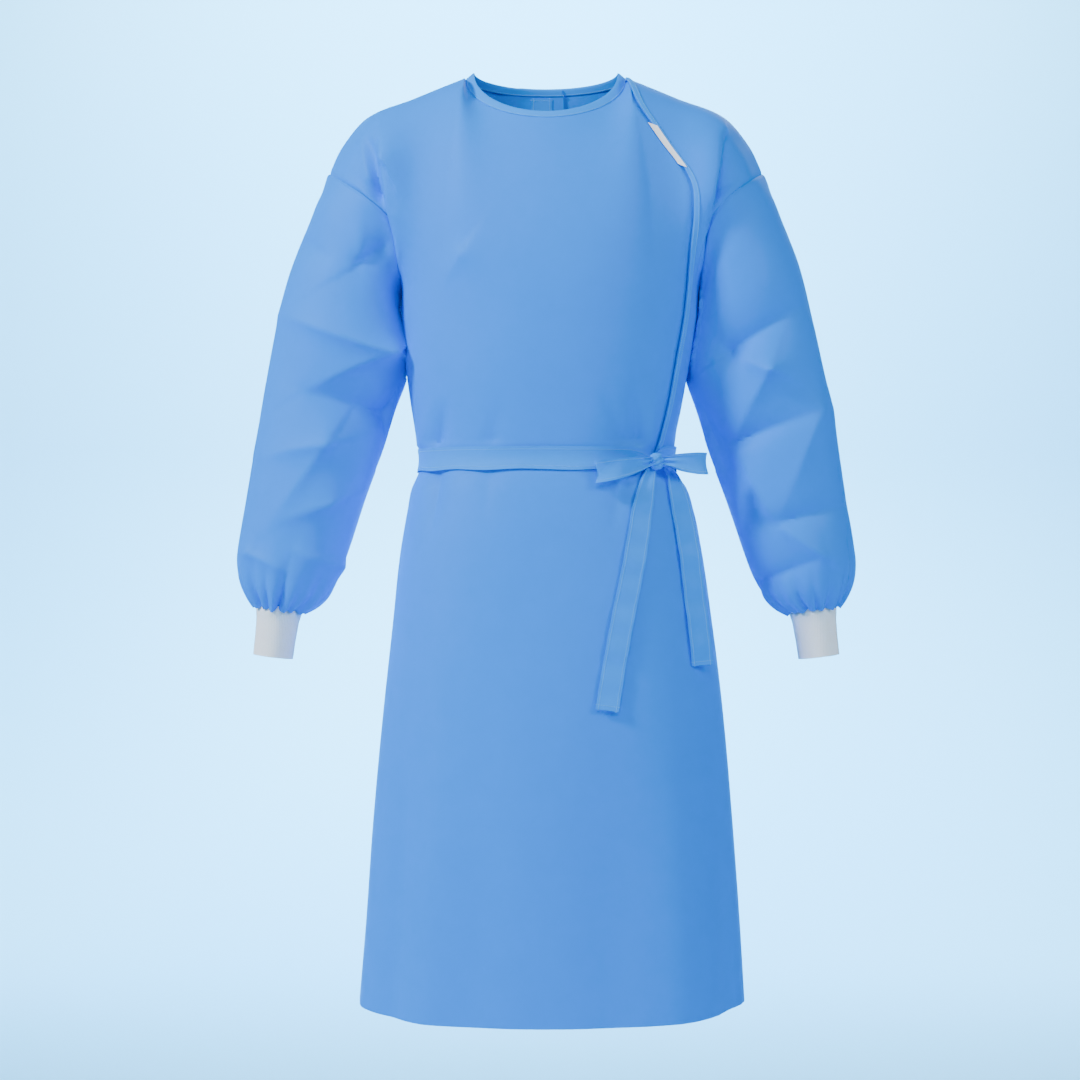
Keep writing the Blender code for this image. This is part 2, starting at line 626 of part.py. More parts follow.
def make_front_side():
    """Wearer's-left front above the waist, with the bound lap edge."""
    corner = SIDE_LEFT - SHOULDER_SHARE * SIDE_RIGHT
    top = SIDE_LEFT - quarter_places()[: SHOULDER_STEPS + 1][::-1] * SIDE_RIGHT
    neck_bound = girth_share(2, corner + 0.01, FRONT, LAP_BINDING_WIDTH)
    shares = (top[1:] - corner - neck_bound) / (SIDE_LEFT - corner - neck_bound)
    rows = [row for row in body_rows() if row > row_of(WAIST_SEAM_Z) - 1e-6]
    girths = []
    for row in rows:
        lap = lap_girth(row)
        bound = lap + girth_share(row, lap + 0.01, FRONT, LAP_BINDING_WIDTH)
        girths.append([lap, bound] + list(bound + shares * (SIDE_LEFT - bound)))
    girths = np.array(girths)
    drops = np.zeros_like(girths)
    points, normals = body_panel("front_side", girths, rows, FRONT, drops, ("end", "high"))
    above_belt = [k for k, row in enumerate(rows) if row > row_of(BELT_Z + BELT_WIDTH / 2)]
    first = above_belt[0]
    strip = points[first:, :2] + normals[first:, :2] * (TRIM_LIFT + TRIM_WALL)
    wall("lap_binding", strip, normals[first:, :2], (TRIM_BLUE, 0.6), TRIM_WALL)


def back_overlap(row, ends):
    """A back lap's reach past the centre on a row."""
    hem, neck = ends
    return hem + (neck - hem) * row / 2


def make_backs():
    """Outer back on the wearer's left, and the inner back that runs under it."""
    top = quarter_places()
    rows = body_rows()
    outer, inner, drops = [], [], []
    for row in rows:
        reach = back_overlap(row, BACK_LAP_OUTER)
        outer.append(list(SIDE_LEFT + top * SIDE_RIGHT) + [1 + reach / 2, 1 + reach])
        hidden = back_overlap(row, BACK_LAP_INNER)
        shown = top[:-3]
        fold = reach + girth_share(row, reach, BACK, LAP_ROLL)
        if row >= 2:
            fold = SIDE_RIGHT * (1 - shown[-1])
        flat = list(SIDE_RIGHT - shown * (SIDE_RIGHT - fold) / shown[-1])
        start = fold - (fold - reach) * 0.6
        tail = [start - (start + hidden) * share for share in (0.0, 0.25, 0.5, 0.75, 1.0)]
        inner.append(flat + tail)
        drops.append([0.0] * len(flat) + [LAP_STEP] * len(tail))
    outer = np.array(outer)
    body_panel("back_left", outer, rows, BACK, np.zeros_like(outer), ("start", "high"))
    inner, drops = np.array(inner)[:, ::-1], np.array(drops)[:, ::-1]
    body_panel("back_right", inner, rows, BACK, drops, ("end", "high"))


def neck_band(name, girths, facing, drops=0.0):
    """A stretch of the neck binding along the cloth's edge."""
    girths = np.asarray(girths, float)
    edge = neck_point(NECK_CLOTH, girths, facing)
    rim = neck_point(NECK_RIM, girths, facing)
    across = unit(rim - edge)
    normals = unit(np.cross(unit(np.gradient(edge, axis=0)), across))
    points = np.stack([edge + across * SEAM_GAP, (edge + rim) / 2, rim])
    points = points + normals * (BINDING_PROUD - drops + 0 * girths)[:, None]
    normals = np.repeat(normals[None], 3, axis=0)
    wall(name, points, normals, (TRIM_BLUE, 0.6), BINDING_THICKNESS)


def make_neck():
    """Neck binding in three stretches, and the tape of the back closure inside the neck."""
    corner = SIDE_RIGHT + SHOULDER_SHARE * SIDE_RIGHT + NECK_CORNER_GAP
    front = np.concatenate([[corner], SIDE_RIGHT + neck_places() * SIDE_RIGHT])
    front = np.concatenate([front, (1 - front)[::-1][1:]])
    neck_band("neck_binding_front", front, FRONT)
    corner = SIDE_LEFT + SHOULDER_SHARE * SIDE_RIGHT + NECK_CORNER_GAP
    reach = back_overlap(2, BACK_LAP_OUTER)
    outer = np.concatenate([[corner], SIDE_LEFT + neck_places() * SIDE_RIGHT])
    neck_band("neck_binding_back_left", np.concatenate([outer, [1 + reach / 2, 1 + reach]]), BACK)
    hidden = back_overlap(2, BACK_LAP_INNER)
    inner = np.concatenate([1 - outer[:-3], [reach + 0.003, reach / 2, 0.0, -hidden]])[::-1]
    drops = np.where(inner < reach + 0.004, BINDING_THICKNESS + SEAM_GAP, 0.0)
    neck_band("neck_binding_back_right", inner, BACK, drops)
    ends = [girth_at(x, 1.9, BACK, -0.05, 0.05) for x in TAPE_X]
    rows = 2 - np.linspace(TAPE_TOP, TAPE_END, TAPE_ROWS)[::-1]
    sunk = LAP_STEP + WALL + TRIM_LIFT
    points, normals = body(*np.meshgrid(sorted(ends), rows), BACK, sunk)
    wall("back_tape", points, normals, (TRIM_BLUE, 0.6), TRIM_WALL)


def sleeve_head(side, turn):
    """The armhole seam round the arm: turn 0 at the shoulder's end, a quarter turn in front."""
    wrapped = np.mod(turn, 2 * math.pi)
    up = 1 - (1 - UNDERARM_SHARE) * np.minimum(wrapped, 2 * math.pi - wrapped) / math.pi
    side = side + 0 * up
    front = armhole_point(side, FRONT, up)
    back = armhole_point(side, BACK, up)
    return np.where((wrapped <= math.pi)[..., None], front, back)


def sleeve_section(side, turn, along):
    """A point of a sleeve section below the head."""
    sections = np.moveaxis(smooth_rows(SLEEVE_SECTIONS, along), -1, 0)
    outer_x, outer_z, inner_x, inner_z, front, back = sections
    swing = np.cos(turn)
    x = side * ((outer_x + inner_x) / 2 + (outer_x - inner_x) / 2 * swing)
    z = (outer_z + inner_z) / 2 + (outer_z - inner_z) / 2 * swing
    y = SHOULDER_Y - np.where(np.sin(turn) > 0, front, back) * np.sin(turn)
    return np.stack([x, y, z], -1)


def sleeve_surface(side, turn, along):
    """A point of a sleeve without creases: along runs from the armhole to the cuff."""
    turn, along = np.broadcast_arrays(np.asarray(turn, float), np.asarray(along, float))
    first = SLEEVE_SECTIONS[0].along
    start = sleeve_head(side, turn)
    end = sleeve_section(side, turn, first + 0 * along)
    arriving = (sleeve_section(side, turn, first + 0.02 + 0 * along) - end) * first / 0.02
    head = hermite(start, end - start, end, arriving, np.clip(along / first, 0, 1)[..., None])
    below = sleeve_section(side, turn, np.maximum(along, first))
    return np.where((along < first)[..., None], head, below)


def clear_of_body(side, points, clearance, share):
    """Holds the inner side of a sleeve just off the side of the body."""
    level = np.minimum(points[..., 2], UNDERARM_Z)
    right, left, front, back = np.moveaxis(smooth_rows(BODY_SECTIONS, level), -1, 0)
    half_width = right if side < 0 else left
    depth = np.where(points[..., 1] < 0, front, back)
    inside = np.clip(np.abs(points[..., 1]) / depth, 0, 0.98)
    limit = half_width * (1 - inside**SQUARENESS) ** (1 / SQUARENESS) + clearance
    limit = np.where(share > 0, limit, 0)
    points = points.copy()
    points[..., 0] = side * np.maximum(side * points[..., 0], limit * share)
    return points


def plain_sleeve(side, turn, along):
    """The sleeve without creases, held off the side of the body."""
    points = sleeve_surface(side, turn, along)
    return clear_of_body(side, points, SLEEVE_CLEARANCE, ease(along / 0.04))


def sleeve_normal(side, turn, along):
    """The outward direction of the plain sleeve."""
    step = 0.01
    round_arm = plain_sleeve(side, turn + step, along) - plain_sleeve(side, turn - step, along)
    below, above = np.minimum(along + step, 1), np.maximum(along - step, 0)
    down_arm = plain_sleeve(side, turn, below) - plain_sleeve(side, turn, above)
    return unit(np.cross(round_arm, down_arm)) * side


def sleeve_points(side, turn, along):
    """The sleeve with its creases and gathers, and its outward directions."""
    point = plain_sleeve(side, turn, along)
    normal = sleeve_normal(side, turn, along)
    creases = RIGHT_SLEEVE_CREASES if side < 0 else LEFT_SLEEVE_CREASES
    front = np.clip(-normal[..., 1] / 0.4, 0, 1)
    back = np.clip(normal[..., 1] / 0.4, 0, 1)
    height = crease_height(creases, point[..., 0], point[..., 2]) * front
    height = height + crease_height(SLEEVE_BACK_CREASES, side * point[..., 0], point[..., 2]) * back
    height = height * ease(along / 0.12) * (1 - ease((along - 0.88) / 0.1))
    gathers = 2 * ARMHOLE_STEPS
    uneven = 1 + 0.3 * np.sin(3 * turn + side) + 0.2 * np.sin(5 * turn)
    grown = ease((along - GATHER_START) / (1 - GATHER_START)) ** 1.5
    height = height + GATHER_HEIGHT * grown * uneven * np.cos(gathers * turn)
    return point + normal * height[..., None], normal


def make_sleeve(name, side):
    """A sleeve: its first ring meets the armhole's columns, and the rest has twice as many."""
    coarse = np.linspace(0, 2 * math.pi, 2 * ARMHOLE_STEPS + 1)[:-1]
    fine = np.linspace(0, 2 * math.pi, 4 * ARMHOLE_STEPS + 1)[:-1]
    rows = np.array(SLEEVE_ROWS)
    points, normals = sleeve_points(side, *np.meshgrid(fine, rows))
    head = sleeve_head(side, coarse)
    up = 1 - (1 - UNDERARM_SHARE) * np.minimum(coarse, 2 * math.pi - coarse) / math.pi
    base = np.full(len(coarse), SIDE_RIGHT if side < 0 else SIDE_LEFT)
    in_front = plain_normal(base, 1 + up, FRONT)
    behind = plain_normal(base, 1 + up, BACK)
    body_normals = np.where((coarse <= math.pi)[:, None], in_front, behind)
    own_normals = sleeve_normal(side, coarse, np.zeros(len(coarse)))
    alike = (own_normals * body_normals).sum(1)[:, None]
    shared = ease((alike - 0.75) / 0.2)
    head_normals = unit(own_normals * (1 - shared) + body_normals * shared)
    head = head + SEAM_GAP * unit(points[0][::2] - head)
    shape = bmesh.new()
    layers = []
    for offset in (0.0, WALL):
        first = [shape.verts.new(p) for p in head - offset * head_normals]
        rest = [[shape.verts.new(p) for p in row] for row in points - offset * normals]
        layers.append((first, rest))
    count = len(fine)
    for first, rest in layers:
        for c in range(count):
            d = (c + 1) % count
            if c % 2 == 0:
                shape.faces.new((first[c // 2], rest[0][c], rest[0][d]))
            else:
                shape.faces.new((first[c // 2], rest[0][c], rest[0][d], first[(c // 2 + 1) % (count // 2)]))
            for r in range(len(rows) - 1):
                shape.faces.new((rest[r][c], rest[r + 1][c], rest[r + 1][d], rest[r][d]))
    (out_first, out_rest), (in_first, in_rest) = layers
    for c in range(count // 2):
        d = (c + 1) % (count // 2)
        shape.faces.new((out_first[c], out_first[d], in_first[d], in_first[c]))
    for c in range(count):
        d = (c + 1) % count
        shape.faces.new((out_rest[-1][c], out_rest[-1][d], in_rest[-1][d], in_rest[-1][c]))
    bmesh.ops.triangulate(shape, faces=shape.faces[:])
    bmesh.ops.recalc_face_normals(shape, faces=shape.faces[:])
    mesh = bpy.data.meshes.new(name)
    shape.to_mesh(mesh)
    shape.free()
    add_piece(name, mesh, (CLOTH_BLUE, 0.6))


def make_cuff(name, side):
    """A knitted cuff."""
    turn = np.linspace(0, 2 * math.pi, CUFF_STEPS + 1)[:-1]
    across = np.array([math.cos(CUFF_TILT) * side, 0, math.sin(CUFF_TILT)])
    rings, normals = [], []
    for cuff in CUFF_RINGS:
        way = np.cos(turn)[:, None] * across - np.sin(turn)[:, None] * np.array([0, 1, 0])
        centre = np.array([cuff.x * side, 0.004, cuff.z])
        rings.append(centre + way * cuff.half_width)
        normals.append(way)
    wall(name, np.array(rings), np.array(normals), (KNIT_WHITE, 0.9), WALL, True)


def make_belt():
    """Belt round the waist, just off the cloth."""
    girths = np.linspace(0, 1, BELT_STEPS + 1)[:-1]
    levels = BELT_Z + BELT_WIDTH * np.array([-0.5, 0.0, 0.5])
    girth_grid, row_grid = np.meshgrid(girths, row_of(levels))
    front = body(girth_grid, row_grid, FRONT)
    back = body(girth_grid, row_grid, BACK)
    is_front = ((girth_grid >= SIDE_RIGHT) & (girth_grid <= SIDE_LEFT))[..., None]
    points = np.where(is_front, front[0], back[0])
    flat = np.where(is_front, front[1], back[1]) * np.array([1, 1, 0])
    points = points + unit(flat) * (BELT_LIFT + BELT_WALL)
    wall("belt", points, unit(flat), (TRIM_BLUE, 0.6), BELT_WALL, True)


def strip_on_body(name, table, turn_forward, finish):
    """A flat strip that hangs on the skirt, its near edge on the cloth's points, moved out."""
    table = np.asarray(table, float)
    run = np.concatenate([[0], np.cumsum(np.hypot(*np.diff(table[:, :2], axis=0).T))])
    places = np.linspace(0, run[-1], TAIL_ROWS)
    x, z, half_width, lift = smooth_rows(np.column_stack([run, table]), places).T
    slope = np.gradient(x, z)
    points, normals = [], []
    for k in range(TAIL_ROWS):
        row = row_of(z[k])
        middle = girth_at(x[k], row, FRONT, CENTRE_FRONT, SIDE_LEFT)
        span = girth_share(row, middle, FRONT, half_width[k])
        near, normal = body(middle - span, row_of(z[k] + slope[k] * half_width[k]), FRONT)
        far, _ = body(middle + span, row_of(z[k] - slope[k] * half_width[k]), FRONT)
        across = unit(far - near) * (1 - turn_forward) + np.array([turn_forward, 0, 0])
        across = unit(across)
        edge = near + normal * lift[k]
        points.append(edge + np.array([0, 1, 2])[:, None] * half_width[k] * across)
        normals.append(np.repeat(unit(np.cross(across, np.array([0, 0, 1.0])))[None], 3, axis=0))
    return wall(name, np.array(points[::-1]), np.array(normals[::-1]), finish, TRIM_WALL)


def make_bow():
    """Knot, two loops and two free ends of the belt."""
    row = row_of(KNOT_Z)
    girth = girth_at(KNOT_X, row, FRONT, CENTRE_FRONT, SIDE_LEFT)
    ground, normal = body(girth, row, FRONT)
    normal = unit(normal * np.array([1, 1, 0]))
    along = np.array([-normal[1], normal[0], 0.0])
    half_run, half_depth, half_rise = KNOT_HALF
    centre = ground + normal * (BELT_LIFT + BELT_WALL + KNOT_LIFT + half_depth)
    shape = bmesh.new()
    bmesh.ops.create_uvsphere(shape, u_segments=KNOT_STEPS, v_segments=KNOT_STEPS // 2 + 1, radius=1)
    for vert in shape.verts:
        x, y, z = vert.co
        vert.co = centre + along * x * half_run - normal * y * half_depth
        vert.co.z += z * half_rise
    bmesh.ops.triangulate(shape, faces=shape.faces[:])
    bmesh.ops.recalc_face_normals(shape, faces=shape.faces[:])
    mesh = bpy.data.meshes.new("bow_knot")
    shape.to_mesh(mesh)
    shape.free()
    add_piece("bow_knot", mesh, (TRIM_BLUE, 0.6))
    for name, loop in (("bow_loop_right", LOOP_RIGHT), ("bow_loop_left", LOOP_LEFT)):
        make_loop(name, centre, loop)
    strip_on_body("belt_tail_right", TAIL_LEFT_OF_KNOT, TAIL_TURN[0], (TRIM_BLUE, 0.6))
    strip_on_body("belt_tail_left", TAIL_RIGHT_OF_KNOT, TAIL_TURN[1], (TRIM_BLUE, 0.6))


def loop_track(centre, loop, run, low):
    """Where a loop lies at each distance from the knot: round the waist, or straight out."""
    if loop.side > 0:
        away = unit(np.array(LOOP_LEFT_WAY))
        outward = np.array([away[1], -away[0], 0.0])
        return centre + run[:, None] * away, np.repeat(outward[None], len(run), axis=0)
    knot = girth_at(KNOT_X, row_of(KNOT_Z), FRONT, CENTRE_FRONT, SIDE_LEFT)
    girths = np.linspace(knot, CENTRE_FRONT, LOOP_SAMPLES)
    points, _ = body(girths, row_of(BELT_Z), FRONT)
    steps = np.linalg.norm(np.diff(points, axis=0), axis=1)
    place = np.interp(run, np.concatenate([[0], np.cumsum(steps)]), girths)
    points, normals = body(place, row_of(low), FRONT)
    outward = unit(normals * np.array([1, 1, 0]))
    points = points + outward * (BELT_LIFT + BELT_WALL + loop.lift)
    points[:, 2] = centre[2]
    return points, outward


def make_loop(name, centre, loop):
    """One loop of the bow: a strip that runs out behind, turns, and comes back in front."""
    path = [(p.run, p.rise, p.half_width, p.back) for p in LOOP_OUT]
    last = LOOP_OUT[-1]
    path.append((LOOP_END_RUN, last.rise, last.half_width, LOOP_END_DEPTH))
    path += [(p.run, p.rise, p.half_width, p.front) for p in LOOP_OUT[::-1]]
    run, rise, half_width, depth = np.array(path).T
    run = loop.root + (run - run[0]) * loop.length
    rise = rise + loop.droop * run
    points, outward = loop_track(centre, loop, run, centre[2] + rise - half_width)
    up = np.array([0.0, 0.0, 1.0])
    points = points + depth[:, None] * outward + rise[:, None] * up
    travel = unit(np.gradient(points, axis=0) * np.array([1, 1, 0]))
    facing = unit(np.cross(travel, up)) * -loop.side
    grid = np.stack([points + up * s * half_width[:, None] for s in (-1.0, 0.0, 1.0)], axis=1)
    normals = np.repeat(facing[:, None], 3, axis=1)
    wall(name, grid, normals, (TRIM_BLUE, 0.6), TRIM_WALL)


def make_tab():
    """Blank white tab on the main front, beside the lap's free edge."""
    levels = np.linspace(TAB_END_Z, TAB_TOP_Z, TAB_ROWS)
    points, normals = [], []
    for z in levels:
        rows = np.linspace(1.3, 1.98, 120)
        laps = np.array([lap_girth(row) for row in rows])
        heights = plain_body(laps, rows, FRONT)[:, 2]
        row = float(np.interp(z, heights, rows))
        lap = float(np.interp(row, rows, laps))
        near = girth_share(row, lap, FRONT, TAB_GAP)
        far = girth_share(row, lap, FRONT, TAB_GAP + TAB_WIDTH * 1.25)
        girth = np.array([lap - far, lap - (near + far) / 2, lap - near])
        point, normal = body(girth, row, FRONT)
        points.append(point + normal * (TRIM_LIFT + TRIM_WALL))
        normals.append(normal)
    wall("neck_tab", np.array(points), np.array(normals), (TAB_WHITE, 0.7), TRIM_WALL)


def main():
    for old in list(bpy.data.objects):
        bpy.data.objects.remove(old)
    collection = bpy.data.collections.new("isolation_gown")
    bpy.context.scene.collection.children.link(collection)
    make_front_main()
    make_front_side()
    make_backs()
    make_neck()
    for side_name, side in (("right", -1), ("left", 1)):
        make_sleeve("sleeve_" + side_name, side)
        make_cuff("cuff_" + side_name, side)
    make_belt()
    make_bow()
    make_tab()


main()
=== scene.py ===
"""Looks of the isolation gown: thin cloth on the solids' own form, with its creases, gathers,
bindings, belt, bow, stitches and knitted cuffs.

Metres, Z up. The front faces -Y and the wearer's left is +X.
"""

import math
from collections import namedtuple

import bpy
import numpy as np
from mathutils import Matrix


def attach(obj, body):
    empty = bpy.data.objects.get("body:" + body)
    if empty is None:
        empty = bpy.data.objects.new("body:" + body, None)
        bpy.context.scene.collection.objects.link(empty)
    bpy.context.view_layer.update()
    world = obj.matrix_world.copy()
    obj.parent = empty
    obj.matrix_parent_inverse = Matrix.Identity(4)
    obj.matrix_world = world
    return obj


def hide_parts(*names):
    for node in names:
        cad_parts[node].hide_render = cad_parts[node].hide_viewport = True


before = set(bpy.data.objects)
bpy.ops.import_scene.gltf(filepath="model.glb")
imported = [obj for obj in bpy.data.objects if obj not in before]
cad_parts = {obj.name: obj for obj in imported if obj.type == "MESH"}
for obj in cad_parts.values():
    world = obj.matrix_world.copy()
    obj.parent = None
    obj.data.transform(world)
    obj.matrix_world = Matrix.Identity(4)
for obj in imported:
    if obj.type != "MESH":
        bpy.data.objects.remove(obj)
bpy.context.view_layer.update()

bl_info = {
    "name": "Isolation gown",
    "version": (1, 0, 0),
    "blender": (4, 5, 0),
    "location": "View3D > Sidebar > Gown",
    "description": "Builds the cloth, trims and stage of a wrap-front isolation gown",
    "category": "Object",
}

# Thickness of the cloth and the trims, how far trims lie off the cloth, how far a lower layer is
# sunk, and the angle past which an edge is sharp
CLOTH_THICKNESS = 0.0008
TRIM_THICKNESS = 0.0011
TRIM_GAP = 0.0003
LAP_STEP = 0.0030
SHARP_ANGLE = math.radians(55)

# Girth places are shares of the way round, from the centre back by the wearer's right side
SIDE_RIGHT = 0.25
CENTRE_FRONT = 0.5
SIDE_LEFT = 0.75

# Share of a quarter of the girth, from the side, where the shoulder line meets the neck
SHOULDER_SHARE = 0.56

# Share of the yoke's height where the underarm is, and how far in the armhole shapes the cloth
UNDERARM_SHARE = 0.10
ARMHOLE_SPREAD = 0.50

# Ways that the two faces of the gown look along Y, and the wearer's two sides along X
FRONT = -1.0
BACK = 1.0
SIDES = (("right", -1), ("left", 1))

# Body: level sections from the hem to the underarm
SQUARENESS = 2.3
Section = namedtuple("Section", "z right left front back")
BODY_SECTIONS = [
    Section(-1.165, 0.2325, 0.2465, 0.158, 0.150),
    Section(-1.080, 0.2255, 0.2415, 0.155, 0.148),
    Section(-0.930, 0.2155, 0.2305, 0.149, 0.142),
    Section(-0.790, 0.2030, 0.2185, 0.142, 0.135),
    Section(-0.690, 0.1920, 0.2070, 0.136, 0.129),
    Section(-0.600, 0.1815, 0.1950, 0.130, 0.122),
    Section(-0.550, 0.1725, 0.1855, 0.126, 0.118),
    Section(-0.520, 0.1665, 0.1755, 0.122, 0.114),
    Section(-0.503, 0.1595, 0.1625, 0.118, 0.109),
    Section(-0.488, 0.1570, 0.1590, 0.115, 0.106),
    Section(-0.473, 0.1585, 0.1605, 0.117, 0.108),
    Section(-0.420, 0.1675, 0.1710, 0.122, 0.112),
    Section(-0.365, 0.1750, 0.1805, 0.126, 0.116),
    Section(-0.310, 0.1800, 0.1900, 0.128, 0.118),
]
HEM_Z = BODY_SECTIONS[0].z
UNDERARM_Z = BODY_SECTIONS[-1].z

# Side of the yoke: from the top of the side seam round the armhole to the shoulder's end
Armhole = namedtuple("Armhole", "up x_right x_left y_front y_back z")
ARMHOLE = [
    Armhole(0.00, 0.1800, 0.1900, 0.000, 0.000, -0.310),
    Armhole(0.10, 0.1800, 0.1915, 0.004, 0.004, -0.283),
    Armhole(0.32, 0.1830, 0.1945, -0.045, 0.053, -0.245),
    Armhole(0.50, 0.1915, 0.2020, -0.066, 0.078, -0.195),
    Armhole(0.64, 0.2200, 0.2230, -0.068, 0.078, -0.168),
    Armhole(0.78, 0.2480, 0.2480, -0.048, 0.056, -0.147),
    Armhole(1.00, 0.2720, 0.2720, 0.004, 0.004, -0.128),
]

# Shoulder line from its end on the arm to the neck
Shoulder = namedtuple("Shoulder", "share x y z")
SHOULDER = [
    Shoulder(0.00, 0.2720, 0.004, -0.1280),
    Shoulder(0.13, 0.2540, 0.004, -0.0915),
    Shoulder(0.24, 0.2260, 0.004, -0.0585),
    Shoulder(0.40, 0.1640, 0.004, -0.0340),
    Shoulder(0.56, 0.1003, 0.004, -0.0090),
]

# Neck: the cloth's edge and the rim of the binding on it
Neck = namedtuple("Neck", "half_width depth_front depth_back z drop_front drop_back")
NECK_CLOTH = Neck(0.1003, 0.0835, 0.0710, -0.0090, 0.0645, 0.0075)
NECK_RIM = Neck(0.0905, 0.0790, 0.0680, 0.0000, 0.0645, 0.0077)
SHOULDER_Y = 0.004
NECK_LEAN_FRONT = 0.45
NECK_LEAN_BACK = 0.25
NECK_CORNER_GAP = 0.0010
BINDING_PROUD = 0.0005
BINDING_THICKNESS = 0.0024
BINDING_ROWS = 9
BINDING_RIM_SHARE = 0.15
BINDING_FRONT_COLUMNS = 150
BINDING_BACK_COLUMNS = 90
INNER_BINDING_LEVEL = 0.004
INNER_BINDING_RISE = 0.030

# Lap: free edge of the wearer's-left front, from the waist to the neck
LapPoint = namedtuple("LapPoint", "z x")
LAP_EDGE = [
    LapPoint(-0.510, 0.1260),
    LapPoint(-0.481, 0.1335),
    LapPoint(-0.415, 0.1505),
    LapPoint(-0.372, 0.1585),
    LapPoint(-0.293, 0.1720),
    LapPoint(-0.232, 0.1757),
    LapPoint(-0.184, 0.1791),
    LapPoint(-0.155, 0.1772),
    LapPoint(-0.134, 0.1679),
    LapPoint(-0.107, 0.1486),
    LapPoint(-0.079, 0.1298),
    LapPoint(-0.051, 0.1124),
    LapPoint(-0.009, 0.0990),
]
UNDERLAP = 0.026
UNDERLAP_AT_NECK = 0.016
UNDERLAP_START = 0.0015
UNDERLAP_SIDE_SHARE = 0.35
LAP_BINDING_WIDTH = 0.0095
LAP_ROLL = 0.010
LAP_UNDER_BELT = 0.006
WAIST_STEP_Z = -0.4930
WAIST_SEAM_Z = -0.4915

# Back laps past the centre, as shares of the girth, at the hem and at the neck
BACK_LAP_OUTER = (0.060, 0.027)
BACK_LAP_INNER = (0.050, 0.016)

# Long soft folds of the skirt: place round the body, half width, height at the hem, top level
SkirtFold = namedtuple("SkirtFold", "girth width height top")
SKIRT_FOLDS = [
    SkirtFold(0.300, 0.022, 0.0050, -0.56),
    SkirtFold(0.355, 0.018, -0.0055, -0.50),
    SkirtFold(0.400, 0.018, 0.0040, -0.52),
    SkirtFold(0.450, 0.022, -0.0035, -0.60),
    SkirtFold(0.545, 0.026, -0.0040, -0.54),
    SkirtFold(0.610, 0.022, 0.0045, -0.62),
    SkirtFold(0.680, 0.020, -0.0055, -0.53),
    SkirtFold(0.720, 0.016, 0.0035, -0.60),
    SkirtFold(0.800, 0.022, 0.0060, -0.55),
    SkirtFold(0.860, 0.020, -0.0060, -0.52),
    SkirtFold(0.925, 0.024, 0.0050, -0.58),
    SkirtFold(0.080, 0.020, -0.0060, -0.54),
    SkirtFold(0.140, 0.022, 0.0055, -0.53),
    SkirtFold(0.200, 0.020, -0.0050, -0.58),
]

# Sleeve sections from the armhole to the gathered end: outer and inner edge, then its depths
SleeveSection = namedtuple("SleeveSection", "along outer_x outer_z inner_x inner_z front back")
SLEEVE_SECTIONS = [
    SleeveSection(0.10, 0.2905, -0.1740, 0.1800, -0.3080, 0.074, 0.080),
    SleeveSection(0.22, 0.3180, -0.2440, 0.1790, -0.3400, 0.071, 0.074),
    SleeveSection(0.34, 0.3365, -0.3160, 0.1775, -0.3750, 0.067, 0.067),
    SleeveSection(0.46, 0.3515, -0.3900, 0.1880, -0.4180, 0.063, 0.063),
    SleeveSection(0.58, 0.3640, -0.4630, 0.2030, -0.4720, 0.060, 0.060),
    SleeveSection(0.70, 0.3750, -0.5300, 0.2265, -0.5350, 0.058, 0.058),
    SleeveSection(0.80, 0.3845, -0.5900, 0.2480, -0.6010, 0.056, 0.056),
    SleeveSection(0.87, 0.3870, -0.6180, 0.2610, -0.6370, 0.052, 0.052),
    SleeveSection(0.93, 0.3825, -0.6430, 0.2745, -0.6600, 0.046, 0.046),
    SleeveSection(0.97, 0.3740, -0.6600, 0.2895, -0.6720, 0.038, 0.038),
    SleeveSection(1.00, 0.3664, -0.6705, 0.3036, -0.6790, 0.0315, 0.0315),
]
SLEEVE_CLEARANCE = 0.0035

# Cuff: a knitted tube whose top is inside the gathered end of the sleeve
Cuff = namedtuple("Cuff", "x z half_width")
CUFF_RINGS = [
    Cuff(0.3344, -0.6690, 0.0270),
    Cuff(0.3350, -0.6765, 0.0290),
    Cuff(0.3366, -0.6880, 0.0268),
    Cuff(0.3396, -0.7110, 0.0256),
    Cuff(0.3424, -0.7330, 0.0252),
]
CUFF_TILT = math.radians(7.3)
CUFF_WALL = 0.0013
RIB_DEPTH = 0.00022

# Belt: height of its middle, width, how far it stands off the waist, wall, seat and slow waves,
# and how much higher it goes on past the knot
BELT_Z = -0.488
BELT_WIDTH = 0.028
BELT_LIFT = 0.0010
BELT_WALL = 0.0018
BELT_SEAT = 0.0004
BELT_WAVE = 0.0004
BELT_LEFT_RISE = 0.0030
BELT_LEFT_RISE_RUN = 0.020

# How the belt is drawn in at the knot: its reach on each side, the share of its width that goes,
# its drop, its lift and its pleats
DRAWN_REACH = (0.013, 0.010)
DRAWN_SHARE = 0.60
DRAWN_DROP = 0.0015
DRAWN_LIFT = 0.0014
DRAWN_PLEAT = 0.0007

